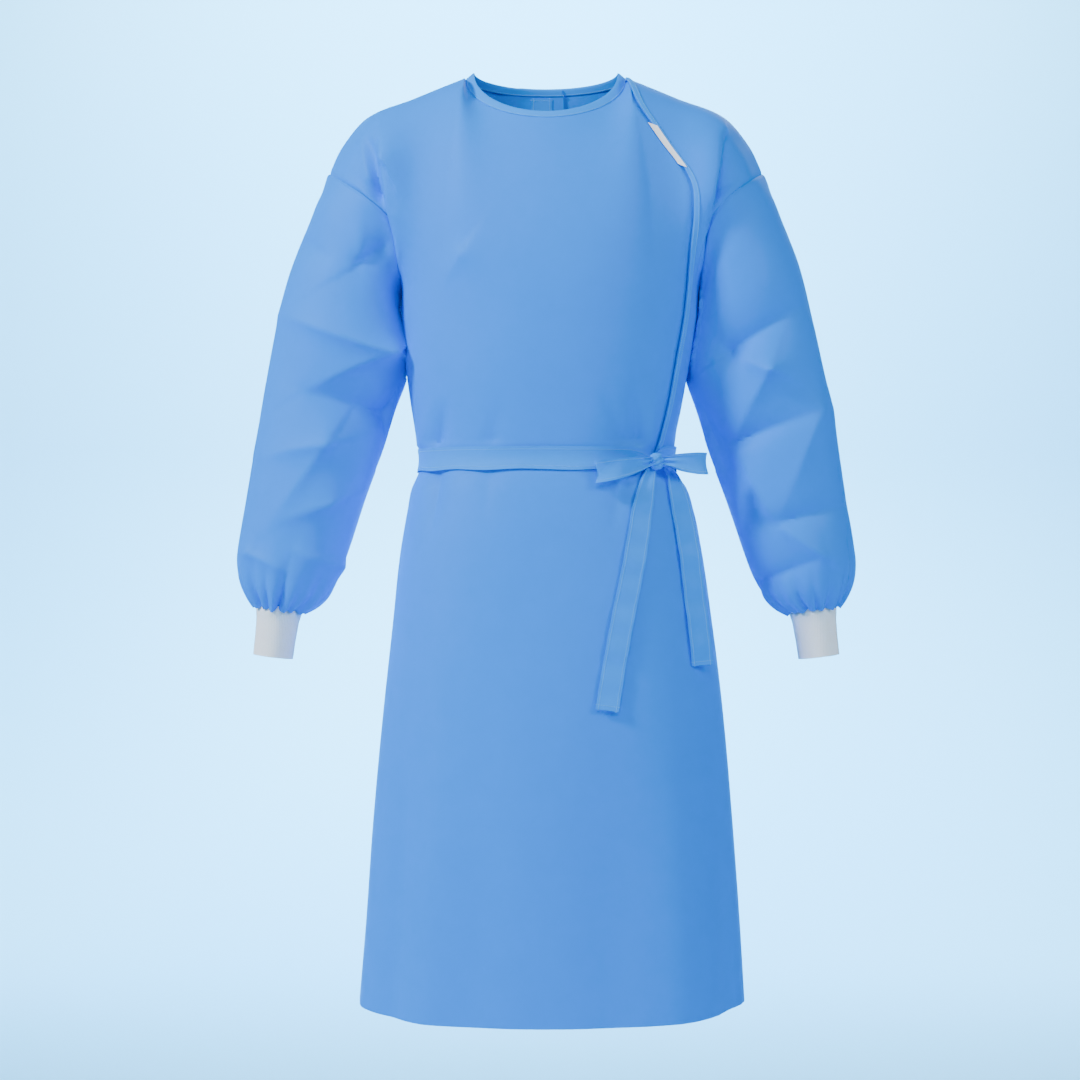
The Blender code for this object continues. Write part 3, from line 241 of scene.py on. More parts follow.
# Knot, and the belt's two hanging ends
KNOT_X = 0.1262
KNOT_Z = -0.4915
KNOT_HALF = (0.0105, 0.0080, 0.0108)
KNOT_LIFT = 0.0012
StripPoint = namedtuple("StripPoint", "x z half_width lift")
TAIL_LEFT_OF_KNOT = [
    StripPoint(0.1245, -0.5020, 0.0070, 0.0042),
    StripPoint(0.1235, -0.5080, 0.0080, 0.0042),
    StripPoint(0.1215, -0.5180, 0.0098, 0.0040),
    StripPoint(0.1171, -0.5380, 0.0125, 0.0036),
    StripPoint(0.1107, -0.5792, 0.0138, 0.0034),
    StripPoint(0.1004, -0.6371, 0.0140, 0.0034),
    StripPoint(0.0884, -0.6956, 0.0140, 0.0032),
    StripPoint(0.0720, -0.7902, 0.0140, 0.0030),
]
TAIL_RIGHT_OF_KNOT = [
    StripPoint(0.1415, -0.4988, 0.0050, 0.0046),
    StripPoint(0.1460, -0.5070, 0.0070, 0.0044),
    StripPoint(0.1505, -0.5180, 0.0098, 0.0040),
    StripPoint(0.1560, -0.5360, 0.0125, 0.0036),
    StripPoint(0.1635, -0.5702, 0.0138, 0.0034),
    StripPoint(0.1705, -0.6174, 0.0140, 0.0034),
    StripPoint(0.1765, -0.6669, 0.0140, 0.0032),
    StripPoint(0.1850, -0.7384, 0.0140, 0.0030),
]

# How far each hanging end turns to face the front instead of lying along the skirt
TAIL_TURN = (0.15, 0.50)

# Loops: distance from the knot, height of the middle, half width, then depths of its two layers
LoopPoint = namedtuple("LoopPoint", "run rise half_width back front")
LOOP_OUT = [
    LoopPoint(0.0114, 0.0010, 0.0050, -0.0026, 0.0022),
    LoopPoint(0.0220, 0.0005, 0.0080, -0.0044, 0.0046),
    LoopPoint(0.0350, -0.0005, 0.0110, -0.0050, 0.0060),
    LoopPoint(0.0480, -0.0010, 0.0128, -0.0046, 0.0052),
    LoopPoint(0.0560, -0.0012, 0.0132, -0.0034, 0.0034),
]
LOOP_END_RUN = 0.0600
LOOP_END_DEPTH = 0.0
LOOP_SAMPLES = 60
Loop = namedtuple("Loop", "side root length droop lift")
LOOP_RIGHT = Loop(-1, 0.0094, 1.54, -0.16, 0.0070)
LOOP_LEFT = Loop(1, 0.0096, 1.15, -0.02, 0.0080)
LOOP_LEFT_WAY = (0.985, 0.17, 0.0)

# Pleats of the loops and the hanging ends at the knot, how far they reach, and the loose form past
# them: hollow across, and slow waves along
LOOP_PLEAT = 0.0016
LOOP_PLEAT_REACH = 0.020
LOOP_HOLLOW = 0.0022
LOOP_WAVE = 0.0008
TAIL_PLEAT = 0.0012
TAIL_PLEAT_REACH = 0.022
TAIL_OFF_SKIRT = 0.0008
TAIL_WAVES = (0.0007, 0.0006)

# Grooves of the knot's wraps: slope across its face, height, depth; then how sharp their bottom is
# and how wide they are, all in halves of the knot
Groove = namedtuple("Groove", "slope height depth")
KNOT_GROOVES = [
    Groove(0.54, 0.30, 0.24),
    Groove(0.42, -0.40, 0.24),
    Groove(-0.96, 0.15, 0.10),
    Groove(0.18, 0.95, 0.12),
]
GROOVE_EDGE = 0.03
GROOVE_WIDTH = 0.10
KNOT_ROUNDNESS = 0.85
KNOT_COLUMNS = 48
KNOT_ROWS = 34

# Tab: width, height over the cloth, its grid, how far it goes past its two ends, the rows of the
# yoke that it lies on, and its ends; then the tape inside the back neck
TAB_WIDTH = 0.0100
TAB_LIFT = 0.0016
TAB_ROWS = 30
TAB_COLUMNS = 8
TAB_EXTRA_LOW = 0.003
TAB_EXTRA_HIGH = 0.007
TAB_SEARCH = (1.3, 1.98)
TAB_TOP_Z = -0.0880
TAB_END_Z = -0.1300
TAPE_X = (-0.0190, 0.0080)
TAPE_TOP = 0.010
TAPE_END = 0.220
TAPE_ROWS = 30

# Shares of the trims' thickness that the thinner trims have
LAP_BINDING_SHARE = 0.5
TAPE_SHARE = 0.6
STRIP_SHARE = 0.8

# Flat cut of each sheet, with its area where it isn't a rectangle, how it is held and by what
Cut = namedtuple("Cut", "width length area held rests_on")


def smooth_rows(rows, at):
    """The columns of a table after its first, read on a smooth curve through every row."""
    table = np.asarray(rows, float)
    place, values = table[:, 0], table[:, 1:]
    slope = np.gradient(values, place, axis=0)
    at = np.clip(np.asarray(at, float), place[0], place[-1])
    low = np.clip(np.searchsorted(place, at) - 1, 0, len(place) - 2)
    step = (place[low + 1] - place[low])[..., None]
    t = ((at - place[low]) / (place[low + 1] - place[low]))[..., None]
    return hermite(values[low], slope[low] * step, values[low + 1], slope[low + 1] * step, t)


def hermite(start, leaving, end, arriving, t):
    """A smooth curve between two points with the directions given at its ends."""
    return (
        start * (2 * t**3 - 3 * t**2 + 1)
        + leaving * (t**3 - 2 * t**2 + t)
        + end * (3 * t**2 - 2 * t**3)
        + arriving * (t**3 - t**2)
    )


def unit(vectors):
    """Vectors of length one."""
    length = np.linalg.norm(vectors, axis=-1, keepdims=True)
    return vectors / np.maximum(length, 1e-12)


def ease(t):
    """Zero to one with soft ends."""
    t = np.clip(t, 0, 1)
    return t * t * (3 - 2 * t)


def ring(girth, z):
    """A point of the level section at z."""
    right, left, front, back = np.moveaxis(smooth_rows(BODY_SECTIONS, z), -1, 0)
    turn = 2 * math.pi * girth
    across, along = np.sin(turn), np.cos(turn)
    half_width = np.where(across > 0, right, left)
    depth = np.where(along > 0, back, front)
    power = 2 / SQUARENESS
    x = -half_width * np.sign(across) * np.abs(across) ** power
    y = depth * np.sign(along) * np.abs(along) ** power
    return np.stack([x, y, z + 0 * x], -1)


def quarter_of(girth):
    """Share of the quarter from the side to the centre, and the side that it is on."""
    girth = np.mod(girth, 1.0)
    away = np.abs(np.mod(girth, 0.5) - SIDE_RIGHT) / SIDE_RIGHT
    return np.clip(away, 0, 1), np.where(girth < CENTRE_FRONT, -1.0, 1.0)


def neck_point(neck, girth, facing):
    """A point of a neck curve, from the shoulder to the centre."""
    share, side = quarter_of(girth)
    turn = np.clip((share - SHOULDER_SHARE) / (1 - SHOULDER_SHARE), 0, 1) * math.pi / 2
    depth = neck.depth_front if facing == FRONT else neck.depth_back
    drop = neck.drop_front if facing == FRONT else neck.drop_back
    x = side * neck.half_width * np.cos(turn)
    y = SHOULDER_Y + (facing * depth - SHOULDER_Y) * np.sin(turn)
    return np.stack([x, y, neck.z - drop * np.sin(turn)], -1)


def top_edge(girth, facing):
    """The shoulder line and neck edge of the body cloth, and the way that the cloth arrives."""
    share, side = quarter_of(girth)
    line = smooth_rows(SHOULDER, np.minimum(share, SHOULDER_SHARE))
    line_point = np.stack([line[..., 0] * side, line[..., 1], line[..., 2]], -1)
    level = np.stack([0 * share, -facing + 0 * share, 0 * share], -1)
    rounded = np.sin(np.clip((share - SHOULDER_SHARE) / (1 - SHOULDER_SHARE), 0, 1) * math.pi / 2)
    lean = NECK_LEAN_FRONT if facing == FRONT else NECK_LEAN_BACK
    neck_way = np.stack([0 * share, -facing * (1 - rounded * (1 - lean)), 0.9 * rounded], -1)
    on_line = (share <= SHOULDER_SHARE)[..., None]
    point = np.where(on_line, line_point, neck_point(NECK_CLOTH, girth, facing))
    return point, unit(np.where(on_line, level, neck_way))


def armhole_point(side, facing, up):
    """A point of the yoke's side edge: the side seam, then the armhole."""
    x_right, x_left, y_front, y_back, z = np.moveaxis(smooth_rows(ARMHOLE, up), -1, 0)
    x = np.where(side < 0, -x_right, x_left)
    return np.stack([x, y_front if facing == FRONT else y_back, z], -1)


def yoke_column(girth, facing, up):
    """A smooth column of cloth from the underarm's level to the top edge."""
    start = ring(girth, UNDERARM_Z + 0 * up)
    leaving = unit(start - ring(girth, UNDERARM_Z - 0.012 + 0 * up))
    end, arriving = top_edge(girth, facing)
    reach = np.linalg.norm(end - start, axis=-1, keepdims=True)
    return hermite(start, leaving * reach, end, arriving * reach, up[..., None])


def plain_body(girth, row, facing):
    """The body without its creases: row 0 to 1 from hem to underarm, 1 to 2 up to the top edge."""
    girth, row = np.broadcast_arrays(np.asarray(girth, float), np.asarray(row, float))
    low = ring(girth, HEM_Z + (UNDERARM_Z - HEM_Z) * np.clip(row, 0, 1))
    up = np.clip(row - 1, 0, 1)
    share, side = quarter_of(girth)
    side_girth = np.where(side < 0, SIDE_RIGHT, SIDE_LEFT)
    shift = armhole_point(side, facing, up) - yoke_column(side_girth, facing, up)
    pull = 1 - ease(share / ARMHOLE_SPREAD)
    high = yoke_column(girth, facing, up) + shift * pull[..., None]
    return np.where((row > 1)[..., None], high, low)


def plain_normal(girth, row, facing):
    """The outward direction of the plain body, from differences that stay on its own face."""
    step = 0.002
    middle = CENTRE_FRONT if facing == FRONT else 0.0
    offset = np.mod(girth - middle + 0.5, 1.0) - 0.5
    before = middle + np.clip(offset - step, -SIDE_RIGHT, SIDE_RIGHT)
    after = middle + np.clip(offset + step, -SIDE_RIGHT, SIDE_RIGHT)
    around = plain_body(after, row, facing) - plain_body(before, row, facing)
    above = np.minimum(row + step, 2)
    upward = plain_body(girth, above, facing) - plain_body(girth, above - 2 * step, facing)
    normal = unit(np.cross(around, upward))
    share, side = quarter_of(girth)
    inside = np.clip(share, step, SHOULDER_SHARE - step)
    line = smooth_rows(SHOULDER, inside + step) - smooth_rows(SHOULDER, inside - step)
    line_normal = unit(np.stack([line[..., 2] * side, 0 * share, -line[..., 0]], -1))
    at_line = (row >= 2 - 1e-6) & (share <= SHOULDER_SHARE + 1e-6)
    return np.where(at_line[..., None], line_normal, normal)


def skirt_height(girth, z):
    """How far the long folds raise the skirt."""
    total = 0 * z
    for fold in SKIRT_FOLDS:
        away = np.abs(np.mod(girth - fold.girth + 0.5, 1.0) - 0.5)
        grown = ease((fold.top - z) / (fold.top - HEM_Z))
        total = total + fold.height * grown * np.exp(-((away / fold.width) ** 2))
    return total


def row_of(z):
    """The row of a level below the underarm."""
    return (z - HEM_Z) / (UNDERARM_Z - HEM_Z)


def girth_at(x, row, facing, low, high):
    """The girth place between low and high where the body's x is the one given."""
    samples = np.linspace(low, high, 400)
    found = plain_body(samples, row, facing)[:, 0]
    order = np.argsort(found)
    return float(np.interp(x, found[order], samples[order]))


def girth_share(row, girth, facing, distance):
    """The change of girth place that moves a point by a distance on a row."""
    step = 0.004
    here = plain_body(girth, row, facing)
    there = plain_body(girth - step, row, facing)
    return distance * step / float(np.linalg.norm(there - here))


def sleeve_head(side, turn):
    """The armhole seam round the arm: turn 0 at the shoulder's end, a quarter turn in front."""
    wrapped = np.mod(turn, 2 * math.pi)
    up = 1 - (1 - UNDERARM_SHARE) * np.minimum(wrapped, 2 * math.pi - wrapped) / math.pi
    side = side + 0 * up
    front = armhole_point(side, FRONT, up)
    back = armhole_point(side, BACK, up)
    return np.where((wrapped <= math.pi)[..., None], front, back)


def sleeve_section(side, turn, along):
    """A point of a sleeve section below the head."""
    sections = np.moveaxis(smooth_rows(SLEEVE_SECTIONS, along), -1, 0)
    outer_x, outer_z, inner_x, inner_z, front, back = sections
    swing = np.cos(turn)
    x = side * ((outer_x + inner_x) / 2 + (outer_x - inner_x) / 2 * swing)
    z = (outer_z + inner_z) / 2 + (outer_z - inner_z) / 2 * swing
    y = SHOULDER_Y - np.where(np.sin(turn) > 0, front, back) * np.sin(turn)
    return np.stack([x, y, z], -1)


def sleeve_surface(side, turn, along):
    """A point of a sleeve without creases: along runs from the armhole to the cuff."""
    turn, along = np.broadcast_arrays(np.asarray(turn, float), np.asarray(along, float))
    first = SLEEVE_SECTIONS[0].along
    start = sleeve_head(side, turn)
    end = sleeve_section(side, turn, first + 0 * along)
    arriving = (sleeve_section(side, turn, first + 0.02 + 0 * along) - end) * first / 0.02
    head = hermite(start, end - start, end, arriving, np.clip(along / first, 0, 1)[..., None])
    below = sleeve_section(side, turn, np.maximum(along, first))
    return np.where((along < first)[..., None], head, below)


def clear_of_body(side, points, clearance, share):
    """Holds the inner side of a sleeve just off the side of the body."""
    level = np.minimum(points[..., 2], UNDERARM_Z)
    right, left, front, back = np.moveaxis(smooth_rows(BODY_SECTIONS, level), -1, 0)
    half_width = right if side < 0 else left
    depth = np.where(points[..., 1] < 0, front, back)
    inside = np.clip(np.abs(points[..., 1]) / depth, 0, 0.98)
    limit = half_width * (1 - inside**SQUARENESS) ** (1 / SQUARENESS) + clearance
    limit = np.where(share > 0, limit, 0)
    points = points.copy()
    points[..., 0] = side * np.maximum(side * points[..., 0], limit * share)
    return points


def plain_sleeve(side, turn, along):
    """The sleeve without creases, held off the side of the body."""
    points = sleeve_surface(side, turn, along)
    return clear_of_body(side, points, SLEEVE_CLEARANCE, ease(along / 0.04))


def sleeve_normal(side, turn, along):
    """The outward direction of the plain sleeve."""
    step = 0.01
    round_arm = plain_sleeve(side, turn + step, along) - plain_sleeve(side, turn - step, along)
    below, above = np.minimum(along + step, 1), np.maximum(along - step, 0)
    down_arm = plain_sleeve(side, turn, below) - plain_sleeve(side, turn, above)
    return unit(np.cross(round_arm, down_arm)) * side


# Sleeve folds as seen from the front: a line with its height at both ends, and how far it reaches
# to the left and to the right of its run; a small edge makes it crisp
Fold = namedtuple("Fold", "x1 z1 x2 z2 height1 height2 left right edge")
RIGHT_ARM_FOLDS = [
    Fold(-0.2275, -0.2470, -0.1890, -0.2240, -0.0121, -0.0231, 0.0131, 0.0218, 0.0008),
    Fold(-0.2290, -0.1650, -0.2250, -0.2380, 0.0049, 0.0073, 0.0131, 0.0131, 0.0020),
    Fold(-0.3020, -0.2180, -0.2600, -0.2480, -0.0073, 0.0000, 0.0131, 0.0175, 0.0032),
    Fold(-0.3330, -0.3080, -0.2000, -0.3555, 0.0024, 0.0170, 0.0284, 0.0131, 0.0010),
    Fold(-0.1990, -0.3560, -0.2965, -0.4040, 0.0146, 0.0024, 0.0109, 0.0262, 0.0008),
    Fold(-0.2970, -0.4045, -0.2000, -0.4300, -0.0049, -0.0194, 0.0218, 0.0175, 0.0016),
    Fold(-0.3430, -0.4830, -0.2700, -0.4700, 0.0024, 0.0097, 0.0218, 0.0120, 0.0010),
    Fold(-0.2700, -0.4700, -0.3405, -0.5690, 0.0097, 0.0024, 0.0153, 0.0262, 0.0013),
    Fold(-0.3400, -0.5690, -0.2660, -0.5430, 0.0000, 0.0109, 0.0218, 0.0098, 0.0008),
    Fold(-0.3260, -0.5960, -0.2600, -0.6180, 0.0000, 0.0097, 0.0109, 0.0131, 0.0010),
    Fold(-0.3670, -0.6040, -0.3080, -0.6310, 0.0073, 0.0012, 0.0098, 0.0087, 0.0008),
]
LEFT_ARM_FOLDS = [
    Fold(0.2240, -0.3570, 0.3300, -0.2900, -0.0182, -0.0024, 0.0218, 0.0153, 0.0013),
    Fold(0.2240, -0.3570, 0.2720, -0.3790, -0.0024, 0.0109, 0.0175, 0.0087, 0.0008),
    Fold(0.2720, -0.3790, 0.2280, -0.4680, 0.0109, 0.0049, 0.0153, 0.0197, 0.0010),
    Fold(0.2280, -0.4680, 0.3380, -0.4270, -0.0182, -0.0024, 0.0197, 0.0131, 0.0010),
    Fold(0.3380, -0.4270, 0.2840, -0.5650, 0.0097, 0.0024, 0.0218, 0.0197, 0.0013),
    Fold(0.2280, -0.4690, 0.2840, -0.5650, 0.0024, 0.0097, 0.0197, 0.0131, 0.0011),
    Fold(0.2840, -0.5660, 0.3780, -0.5430, -0.0146, -0.0024, 0.0153, 0.0120, 0.0010),
    Fold(0.2840, -0.5670, 0.3410, -0.6080, 0.0012, 0.0097, 0.0131, 0.0076, 0.0008),
    Fold(0.3410, -0.6080, 0.2600, -0.6420, -0.0024, -0.0109, 0.0098, 0.0131, 0.0010),
    Fold(0.1960, -0.4300, 0.2200, -0.5000, -0.0073, -0.0121, 0.0175, 0.0175, 0.0024),
]
ARM_BACK_FOLDS = [
    Fold(0.3300, -0.3200, 0.2100, -0.3700, 0.0029, 0.0090, 0.0264, 0.0160, 0.0030),
    Fold(0.2100, -0.3720, 0.3150, -0.4350, 0.0080, 0.0029, 0.0160, 0.0264, 0.0030),
    Fold(0.3480, -0.4600, 0.2450, -0.4900, -0.0029, -0.0190, 0.0154, 0.0220, 0.0014),
    Fold(0.2450, -0.4920, 0.3400, -0.5600, 0.0117, 0.0029, 0.0132, 0.0242, 0.0014),
    Fold(0.3650, -0.5950, 0.2800, -0.6300, 0.0014, -0.0117, 0.0110, 0.0132, 0.0014),
]

# Gathers at the sleeve's end: how many round it, height, where they start, how fast they grow
Gather = namedtuple("Gather", "count height start power shift level")
GATHERS = [
    Gather(16, 0.0060, 0.80, 1.3, 0.4, 0.70),
    Gather(9, 0.0040, 0.66, 1.2, 1.1, 0.66),
    Gather(27, 0.0016, 0.90, 1.0, 2.3, 0.66),
]

# Folds of the body seen from the front and from behind, made the same way
FRONT_FOLDS = [
    Fold(-0.2200, -0.0850, -0.2010, -0.1240, 0.0020, 0.0080, 0.0300, 0.0035, 0.0008),
    Fold(-0.2010, -0.1240, -0.1910, -0.1900, 0.0080, 0.0110, 0.0300, 0.0035, 0.0008),
    Fold(-0.2130, -0.1050, -0.2040, -0.1850, -0.0080, -0.0200, 0.0060, 0.0140, 0.0016),
    Fold(-0.2290, -0.0920, -0.2180, -0.1450, 0.0030, 0.0060, 0.0060, 0.0060, 0.0012),
    Fold(0.2220, -0.0780, 0.2030, -0.1700, 0.0030, 0.0110, 0.0035, 0.0300, 0.0008),
    Fold(0.2240, -0.0950, 0.2120, -0.1750, -0.0090, -0.0220, 0.0140, 0.0050, 0.0014),
    Fold(-0.1020, -0.2430, -0.1260, -0.2820, 0.0064, 0.0000, 0.0200, 0.0060, 0.0020),
    Fold(-0.1350, -0.4700, -0.1240, -0.4200, -0.0110, -0.0016, 0.0090, 0.0090, 0.0020),
    Fold(-0.1560, -0.4700, -0.1500, -0.4300, 0.0050, 0.0006, 0.0080, 0.0080, 0.0020),
    Fold(-0.0660, -0.4720, -0.0550, -0.4200, -0.0045, -0.0007, 0.0120, 0.0120, 0.0040),
    Fold(0.0950, -0.4720, 0.0700, -0.4100, -0.0048, -0.0007, 0.0080, 0.0080, 0.0030),
    Fold(0.1120, -0.4720, 0.1050, -0.4000, -0.0090, -0.0010, 0.0070, 0.0070, 0.0018),
    Fold(0.1250, -0.4720, 0.1320, -0.4000, 0.0048, 0.0008, 0.0070, 0.0070, 0.0025),
    Fold(-0.1330, -0.5040, -0.1420, -0.5900, -0.0100, -0.0010, 0.0090, 0.0090, 0.0020),
    Fold(-0.0700, -0.5040, -0.0740, -0.5700, -0.0040, -0.0005, 0.0120, 0.0120, 0.0040),
    Fold(0.0900, -0.5040, 0.0800, -0.5800, -0.0048, -0.0005, 0.0110, 0.0110, 0.0040),
]
BACK_FOLDS = [
    Fold(-0.2080, -0.0900, -0.1960, -0.2000, -0.0060, -0.0110, 0.0090, 0.0140, 0.0016),
    Fold(0.2100, -0.0880, 0.1980, -0.1950, -0.0060, -0.0110, 0.0140, 0.0090, 0.0016),
    Fold(-0.1200, -0.4720, -0.1080, -0.4100, -0.0040, -0.0008, 0.0100, 0.0100, 0.0030),
    Fold(-0.0500, -0.4720, -0.0420, -0.4200, -0.0030, -0.0005, 0.0120, 0.0120, 0.0040),
    Fold(0.0600, -0.4720, 0.0520, -0.4200, -0.0030, -0.0005, 0.0120, 0.0120, 0.0040),
    Fold(0.1220, -0.4720, 0.1100, -0.4100, -0.0040, -0.0008, 0.0100, 0.0100, 0.0030),
    Fold(-0.1150, -0.5040, -0.1240, -0.5800, -0.0040, -0.0005, 0.0110, 0.0110, 0.0030),
    Fold(0.1120, -0.5040, 0.1200, -0.5800, -0.0040, -0.0005, 0.0110, 0.0110, 0.0030),
]

# Where the folds of the body fade: beside the side seams, below the top edge and beside the belt
FOLD_SIDE_FADE = 0.015
FOLD_TOP_ROW = 1.88
YOKE_FOLD_SHARE = 0.05
BELT_CLEARANCE = 0.006
WAVE_TOP_ROW = 1.70
YOKE_WAVE_SHARE = 0.15

# Grids of the cloth: how many rows and columns on each stretch
SKIRT_ROWS = 84
BODICE_ROWS = 34
YOKE_ROWS = 58
PANEL_COLUMNS = 116
UNDERLAP_COLUMNS = 14
SLEEVE_COLUMNS = 132
SLEEVE_LENGTH_ROWS = 132
CUFF_RIBS = 84
CUFF_RIB_COLUMNS = 4
CUFF_ROWS = 30
BELT_COLUMNS = 420
BELT_ROWS = 8
STRIP_ROWS = 110
STRIP_COLUMNS = 10
STEP_COLUMNS = 6
SIDE_PIECE_COLUMNS = 44
INNER_BACK_COLUMNS = 34

# Hem: how much higher it hangs at the sides than in front
HEM_RISE = 0.0100
HEM_RISE_TOP = -0.90

# Armhole seam: columns close to it as shares of a quarter, how deep, how wide and how soon above
# the underarm the body cloth dips, and how far the sleeve stands over it
SEAM_SHARES = (0.0, 0.004, 0.009, 0.016)
SEAM_DIP = 0.0012
SEAM_DIP_WIDTH = 0.010
SEAM_DIP_RISE = 0.05
SEAM_STAND = 0.0014

# How deep the sleeve is tucked behind the body cloth in front, from which height over which
# drop, and how far along the sleeve it starts and ends
ARM_TUCK = 0.004
ARM_TUCK_TOP = -0.150
ARM_TUCK_DROP = 0.08
ARM_TUCK_START = 0.030
ARM_TUCK_END = 0.23

# Rows of the sleeve close to the armhole seam and where the even rows start, then where its folds
# are full and where they fade, and how fast they come in as the cloth turns to the front or back
SLEEVE_SEAM_PLACES = (0.0, 0.0025, 0.0055, 0.009)
SLEEVE_FIRST_PLACE = 0.014
SLEEVE_FOLD_START = 0.08
SLEEVE_FOLD_END = 0.90
SLEEVE_TURN_FADE = 0.25

# Width over which the inner back rises beside the outer back's edge
INNER_BACK_ROLL = 0.034

# How far the tab reaches over the binding
TAB_ON_BINDING = 0.0042

# Stitches, how far they lie off the cloth, and the lines that each piece leaves for them
STITCH_PITCH = 0.0030
STITCH_LENGTH = 0.0023
STITCH_RADIUS = 0.00030
STITCH_LIFT = 0.00015
TAPE_STITCH_LIFT = 0.0001
NECK_STITCH_LIFT = 0.0002
STITCH_LINES = {}

# Stage: one sweep of floor and wall, then the lights, each turned to a point
FLOOR_Z = -1.62
FLOOR_START_Y = -9.0
WALL_Y = 3.7
WALL_TOP_Z = 6.0
SWEEP_RADIUS = 1.3
SWEEP_HALF = 9.0
SWEEP_STEPS = 24
STAGE_SHADE = (0.30, 0.77, 0.99)
STAGE_LIGHT = (0.42, 0.82, 0.99)
GOWN_MIDDLE = (0, 0, -0.55)
Light = namedtuple("Light", "name place aim size power")
LIGHTS = [
    Light("key", (-3.0, -1.7, 1.9), GOWN_MIDDLE, 0.6, 220),
    Light("right_key", (2.8, -2.2, 1.4), GOWN_MIDDLE, 1.1, 68),
    Light("front", (-0.3, -3.4, 1.9), GOWN_MIDDLE, 1.3, 66),
    Light("back", (1.2, 2.6, 1.4), GOWN_MIDDLE, 1.0, 26),
]
WALL_LIGHT = Light("wall", (0.0, 1.7, 3.1), (0.0, 3.7, -0.6), 3.2, 400)
WALL_LIGHT_DEPTH = 0.5
WALL_LIGHT_SPREAD = math.radians(80)
WALL_LIGHT_COLOUR = (0.32, 0.74, 1.0)
WORLD_COLOUR = (0.86, 0.95, 1.0, 1)
WORLD_STRENGTH = 0.16

# Camera at the photo's place, 2.7 m in front of the gown
CAMERA_PLACE = (-0.0075, -2.7, -0.587)
CAMERA_LENS = 71.8
CAMERA_SENSOR = 36.0


def fold_height(folds, x, z):
    """How far a list of folds raises the cloth at places seen from the front or the back."""
    total = 0 * x
    for fold in folds:
        run_x, run_z = fold.x2 - fold.x1, fold.z2 - fold.z1
        length = math.hypot(run_x, run_z)
        share = ((x - fold.x1) * run_x + (z - fold.z1) * run_z) / length**2
        near = np.clip(share, 0, 1)
        away_x, away_z = x - fold.x1 - near * run_x, z - fold.z1 - near * run_z
        on_left = run_x * away_z - run_z * away_x > 0
        away = np.hypot(away_x, away_z)
        reach = np.where(on_left, fold.left, fold.right)
        crisp = np.sqrt(away**2 + fold.edge**2) - fold.edge
        height = fold.height1 + (fold.height2 - fold.height1) * near
        total = total + height * np.exp(-crisp / reach)
    return total


def uneven(girth, z):
    """Very slow, shallow waves of worn cloth."""
    turn = 2 * math.pi * girth
    return 0.0008 * np.sin(3 * turn + 7 * z) + 0.0006 * np.sin(5 * turn - 11 * z + 1.3)


def cloth(girth, row, facing):
    """A point of the body cloth with all its folds, and its outward direction."""
    girth, row = np.broadcast_arrays(np.asarray(girth, float), np.asarray(row, float))
    point = plain_body(girth, row, facing)
    normal = plain_normal(girth, row, facing)
    x, z = point[..., 0], point[..., 2]
    folds = FRONT_FOLDS if facing == FRONT else BACK_FOLDS
    share, _side = quarter_of(girth)
    fade = np.clip(facing * point[..., 1] / FOLD_SIDE_FADE, 0, 1)
    fade = fade * (1 - ease((row - FOLD_TOP_ROW) / (2 - FOLD_TOP_ROW)))
    fade = fade * np.where(row > 1 + UNDERARM_SHARE, ease(share / YOKE_FOLD_SHARE), 1)
    off_belt = (np.abs(z - BELT_Z) - BELT_WIDTH / 2) / BELT_CLEARANCE
    height = fold_height(folds, x, z) * fade * ease(off_belt)
    slow = uneven(girth, z) * ease(off_belt / 5)
    slow = slow * (1 - ease((row - WAVE_TOP_ROW) / (2 - WAVE_TOP_ROW)))
    slow = slow * np.where(row > 1, ease(share / YOKE_WAVE_SHARE), 1)
    height = height + slow + skirt_height(girth, z) * (row < 1)
    dip = SEAM_DIP * np.exp(-((share / SEAM_DIP_WIDTH) ** 2))
    dip = dip * ease((row - 1 - UNDERARM_SHARE) / SEAM_DIP_RISE)
    lift = HEM_RISE * (1 - share) ** 3 * ease((HEM_RISE_TOP - z) / (HEM_RISE_TOP - HEM_Z))
    point = point + np.stack([0 * z, 0 * z, lift], -1)
    return point + normal * (height - dip)[..., None], normal


def thin_mesh(name, outer, inner, closed_round=False):
    """A thin wall between two grids of points, with its faces pointing out."""
    rows, columns = outer.shape[:2]
    count = rows * columns
    index = np.arange(count).reshape(rows, columns)
    if closed_round:
        index = np.concatenate([index, index[:, :1]], axis=1)
    a, b = index[:-1, :-1].ravel(), index[:-1, 1:].ravel()
    c, d = index[1:, 1:].ravel(), index[1:, :-1].ravel()
    faces = [np.stack([a, b, c, d], 1), np.stack([d, c, b, a], 1) + count]
    borders = [index[0][::-1], index[-1]]
    if not closed_round:
        borders += [index[:, 0], index[::-1, -1]]
    for border in borders:
        start, end = border[:-1], border[1:]
        faces.append(np.stack([end, end + count, start + count, start], 1))
    faces = np.concatenate(faces)
    points = np.concatenate([outer.reshape(-1, 3), inner.reshape(-1, 3)])
    mid = (rows // 2) * columns + columns // 2
    spans = outer[rows // 2, columns // 2 - 1] - outer[rows // 2, columns // 2]
    rises = outer[rows // 2 - 1, columns // 2] - outer[rows // 2, columns // 2]
    if np.dot(np.cross(spans, rises), points[mid] - points[mid + count]) < 0:
        faces = faces[:, ::-1]
    mesh = bpy.data.meshes.new(name)
    mesh.from_pydata(points.tolist(), [], faces.tolist())
    mesh.update()
    mesh.shade_smooth()
    mesh.set_sharp_from_angle(angle=SHARP_ANGLE)
    return mesh


def add_piece(name, mesh, finish, slot_name, *nodes):
    """Places a finished piece with its finish, hangs it on the root and hides the solids that it stands
    for.
    """
    piece = bpy.data.objects.new(name, mesh)
    bpy.context.scene.collection.objects.link(piece)
    mesh.materials.clear()
    mesh.materials.append(finish)
    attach(piece, "root")
    if nodes:
        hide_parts(*nodes)


